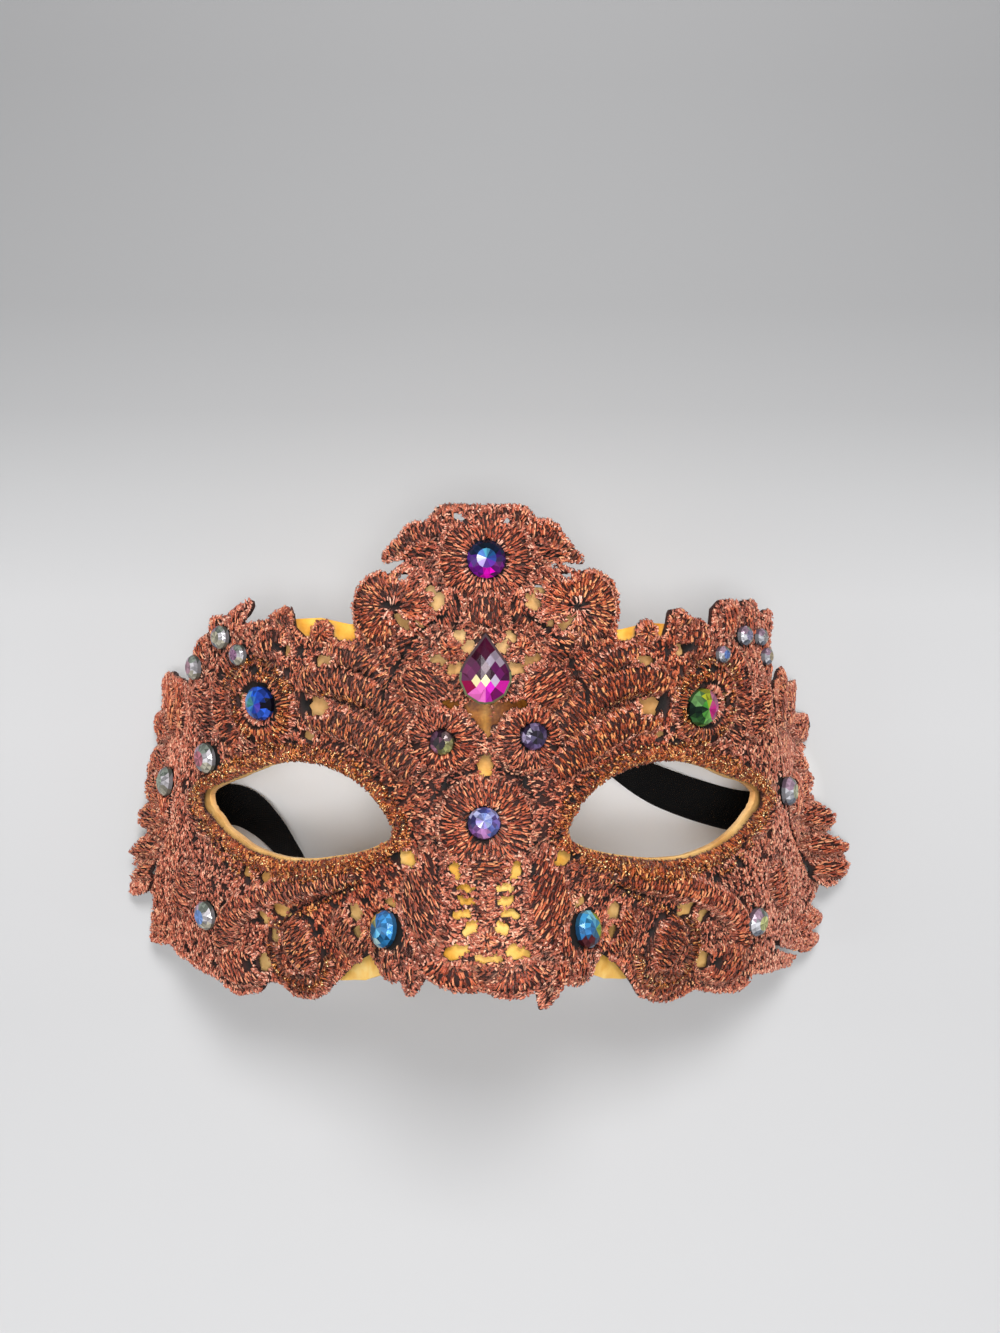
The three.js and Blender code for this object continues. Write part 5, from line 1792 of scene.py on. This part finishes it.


# Painted flashes of light of each stone, over its glass colour: the colours round its table, then those
# round its crown, from the right and anticlockwise. A clear stone has a pale crown and one colour in its
# table. The turn centres the first colour on the right, and the stone's edge is darker by a painted shade.
FLASH_TURN = 1 / 16
EDGE_SHADE = 0.6
FLASHES = {
    "crest_stone": (
        [(40, 60, 140), (16, 70, 120), (70, 150, 180), (90, 140, 220), (236, 240, 255), (196, 170, 240),
         (120, 60, 190), (90, 40, 150)],
        [(52, 20, 90), (10, 26, 52), (6, 22, 34), (14, 34, 62), (70, 30, 120), (120, 10, 150),
         (226, 0, 190), (110, 20, 120)],
    ),
    "bridge_stone": (
        [(84, 100, 168), (150, 162, 212), (100, 122, 190), (60, 70, 130), (116, 100, 168),
         (170, 166, 214), (88, 74, 146), (128, 142, 200)],
        [(110, 94, 164), (150, 152, 206), (80, 88, 160), (176, 180, 220), (60, 56, 110), (130, 84, 150),
         (176, 122, 180), (96, 106, 176)],
    ),
    "left_flower_stone": (
        [(30, 18, 26), (90, 50, 66), (40, 24, 30), (20, 12, 18), (70, 60, 40), (30, 20, 26)],
        [(130, 124, 80), (110, 90, 90), (40, 24, 36), (90, 60, 80), (60, 36, 50), (170, 110, 134),
         (120, 116, 70), (150, 150, 96)],
    ),
    "right_flower_stone": (
        [(18, 14, 24), (50, 38, 64), (20, 14, 28), (96, 88, 124), (14, 10, 20), (44, 32, 60)],
        [(92, 76, 112), (62, 48, 82), (120, 106, 140), (44, 34, 60), (140, 128, 160), (76, 60, 98),
         (104, 88, 132), (50, 38, 72)],
    ),
    "left_temple_stone": (
        [(70, 60, 170), (40, 84, 200), (70, 130, 215), (86, 156, 160), (80, 150, 146), (60, 120, 190),
         (36, 70, 180), (90, 80, 190)],
        [(14, 14, 24), (30, 60, 150), (36, 90, 205), (76, 140, 205), (90, 160, 190), (50, 110, 200),
         (22, 50, 120), (48, 96, 215)],
    ),
    "right_temple_stone": (
        [(196, 44, 128), (206, 80, 140), (150, 170, 40), (80, 170, 60), (30, 60, 30), (96, 180, 70),
         (120, 186, 86), (190, 40, 120)],
        [(200, 60, 140), (190, 110, 140), (170, 176, 44), (96, 140, 80), (16, 36, 20), (40, 84, 36),
         (110, 180, 84), (176, 34, 112)],
    ),
    "left_cheek_stone": (
        [(90, 170, 225), (60, 130, 200), (40, 110, 170), (150, 150, 90), (30, 90, 130), (20, 70, 100),
         (60, 140, 190), (110, 190, 225)],
        [(60, 140, 205), (70, 150, 215), (50, 120, 190), (205, 166, 70), (186, 140, 44), (22, 84, 112),
         (170, 204, 206), (30, 100, 150)],
    ),
    "right_cheek_stone": (
        [(130, 170, 80), (60, 150, 190), (90, 180, 220), (40, 120, 185), (30, 100, 160), (50, 110, 150),
         (40, 90, 120), (150, 170, 50)],
        [(176, 190, 48), (160, 184, 70), (116, 190, 214), (60, 140, 190), (50, 120, 180), (92, 32, 36),
         (44, 70, 104), (156, 170, 44)],
    ),
}
CLEAR_CROWN = [
    (190, 186, 190), (122, 130, 120), (164, 136, 154), (200, 200, 206), (112, 118, 130), (180, 174, 156),
]
CLEAR_TABLES = {
    "left_side_stone_1": (150, 110, 140), "left_side_stone_2": (168, 162, 140),
    "left_side_stone_3": (170, 128, 142), "left_side_stone_4": (184, 108, 122),
    "left_side_stone_5": (150, 164, 140), "left_side_stone_6": (112, 146, 206),
    "right_side_stone_1": (98, 126, 186), "right_side_stone_2": (134, 130, 156),
    "right_side_stone_3": (150, 148, 146), "right_side_stone_4": (166, 150, 118),
    "right_side_stone_5": (176, 178, 140), "right_side_stone_6": (196, 198, 130),
}
STONE_SLOTS = {
    "crest_stone": "violet_glass", "left_flower_stone": "violet_glass", "right_flower_stone": "violet_glass",
    "left_temple_stone": "blue_glass", "right_temple_stone": "blue_glass", "left_cheek_stone": "blue_glass",
    "right_cheek_stone": "blue_glass",
}


def round_stone_flash(name):
    """The colour of each facet of one round stone, with painted flashes of light and painted shade."""
    if name in FLASHES:
        table, crown = FLASHES[name]
    else:
        table, crown = [CLEAR_TABLES[name]], CLEAR_CROWN

    def tint_and_painted_flash(middle, normal):
        turn = (math.atan2(middle.y, middle.x) / (2 * math.pi) + FLASH_TURN) % 1
        colours = table if normal.z > 0.98 else crown
        # Painted light and shade: edge facets are darker, the others lighter or darker at random
        shade = EDGE_SHADE if abs(normal.z) < 0.3 else random.uniform(0.65, 1.1)
        return paint(*(min(255, part * shade) for part in colours[int(turn * len(colours))]))

    return tint_and_painted_flash


def make_stones():
    """All stones, each on its seat and with its own glass."""
    materials = {slot: glass(slot) for slot in ("violet_glass", "blue_glass", "clear_glass")}
    for name, u, v, radius in STONES:
        obj = cut_round_stone(radius)
        colour_facets(obj, round_stone_flash(name))
        slot = STONE_SLOTS.get(name, "clear_glass")
        set_stone(name + "_glass", obj, (u, v, SEAT_HEIGHT), materials[slot])
    make_teardrop(materials["violet_glass"])


# The drop-shaped stone: the lozenges of its crown, how high the crown stands and how much it domes, and
# each ring of its rim as a scale of the outline and a height; then its painted flashes, each with its place
LOZENGE_CELLS = 12
LOZENGE = 1.28
LOZENGE_WIDTH = 0.72
PEAR_MIDDLE = 0.9
PEAR_CROWN_SCALE = 0.78
PEAR_CROWN_HEIGHT = 1.3
PEAR_CROWN_RISE = 2.4
PEAR_RIM = [(0.97, 1.5), (1.06, 1.0), (1.04, 0.0)]
OLIVE_RIM = (116, 122, 84)
PLUM_RIM = (84, 66, 70)
PEAR_FLASHES = [
    ((-1.5, -0.4), (255, 240, 180)), ((1.6, -0.6), (246, 226, 255)), ((2.2, 3.6), (146, 134, 150)),
    ((-2.6, -1.8), (206, 14, 96)), ((0.4, -2.6), (214, 40, 196)), ((2.8, -1.6), (196, 26, 150)),
    ((-2.8, 1.6), (118, 56, 96)), ((0.2, 1.4), (52, 8, 34)), ((2.9, 1.4), (92, 24, 80)),
    ((-1.0, 3.8), (48, 8, 30)), ((0.4, 5.6), (76, 12, 46)), ((-2.4, 3.2), (84, 48, 74)),
    ((-0.8, -2.2), (250, 120, 210)), ((1.6, -3.4), (160, 16, 130)),
]


def teardrop_outline(scale):
    """A circle drawn out to a point, as a list of places round its centre."""
    radius, point = TEARDROP["radius"] * scale, TEARDROP["point"] * scale
    waist = math.asin(TEARDROP["radius"] / TEARDROP["point"])
    turns = np.linspace(math.pi - waist, 2 * math.pi + waist, 29)
    return [(radius * math.cos(t), radius * math.sin(t)) for t in turns] + [(0.0, point)]


def lattice_dome():
    """The pear's crown: a lattice of lozenges, cut to the outline and domed."""
    deselect_all()
    bpy.ops.mesh.primitive_grid_add(x_subdivisions=LOZENGE_CELLS, y_subdivisions=LOZENGE_CELLS, size=1)
    obj = bpy.context.object
    mesh = obj.data
    grid = points_of(mesh) * LOZENGE_CELLS * LOZENGE
    x = LOZENGE_WIDTH * (grid[:, 0] - grid[:, 1])
    y = grid[:, 0] + grid[:, 1] + PEAR_MIDDLE
    select_points(mesh, area(teardrop_outline(PEAR_CROWN_SCALE))(x, y) < -0.15)
    fall = (x / (1.5 * TEARDROP["radius"])) ** 2 + ((y - PEAR_MIDDLE) / (1.35 * TEARDROP["point"])) ** 2
    set_points(mesh, np.column_stack([x, y, PEAR_CROWN_HEIGHT + PEAR_CROWN_RISE * (1 - fall)]))
    bpy.ops.object.mode_set(mode="EDIT")
    bpy.ops.mesh.delete(type="VERT")
    bpy.ops.object.mode_set(mode="OBJECT")
    return obj


def add_skirt(mesh, scale, height):
    """Extrudes the open edge onto the pear outline at this scale and height."""
    bpy.context.tool_settings.mesh_select_mode = (False, True, False)
    before = len(mesh.vertices)
    bpy.ops.object.mode_set(mode="EDIT")
    bpy.ops.mesh.select_all(action="DESELECT")
    bpy.ops.mesh.select_non_manifold()
    bpy.ops.mesh.extrude_edges_move()
    bpy.ops.object.mode_set(mode="OBJECT")
    spots = points_of(mesh)
    spots[before:, :2] = drawn_to_outline(area(teardrop_outline(scale)), spots[before:, :2], 9)
    spots[before:, 2] = height
    set_points(mesh, spots)


def pear_flash(middle, _normal):
    """Painted flashes of light over the glass colour: plum above, pale lozenges in the middle, magenta below,
    and olive and plum in the rim.
    """
    if middle.z < PEAR_CROWN_HEIGHT:
        return paint(*(OLIVE_RIM if middle.y < 2 else PLUM_RIM))
    nearest = min(PEAR_FLASHES, key=lambda entry: math.dist(entry[0], middle[:2]))
    # Painted light and shade: each lozenge lighter or darker at random
    shade = random.uniform(0.75, 1.15)
    return paint(*(min(255, part * shade) for part in nearest[1]))


def make_teardrop(material):
    """A pear-shaped stone with a domed, chequer-cut crown and a low rim round it."""
    obj = lattice_dome()
    mesh = obj.data
    for scale, height in PEAR_RIM:
        add_skirt(mesh, scale, height)
    bpy.ops.object.mode_set(mode="EDIT")
    bpy.ops.mesh.select_all(action="DESELECT")
    bpy.ops.mesh.select_non_manifold()
    bpy.ops.mesh.edge_face_add()
    bpy.ops.mesh.select_all(action="SELECT")
    bpy.ops.mesh.normals_make_consistent(inside=False)
    bpy.ops.object.mode_set(mode="OBJECT")
    colour_facets(obj, pear_flash)
    seat = (TEARDROP["u"], TEARDROP["v"], SEAT_HEIGHT)
    set_stone("teardrop_stone_glass", obj, seat, material)


set_camera()
set_light()
set_floor()
make_strap(elastic())
make_shell(gold_paint())
thread_material, net_material = lace_thread(), lace_net()
one_stitch = model_stitch()
make_front_lace(net_material, thread_material, one_stitch)
for wing in ("left", "right"):
    make_wing_lace(wing, net_material, thread_material, one_stitch)
make_glitter(glitter())
make_stones()
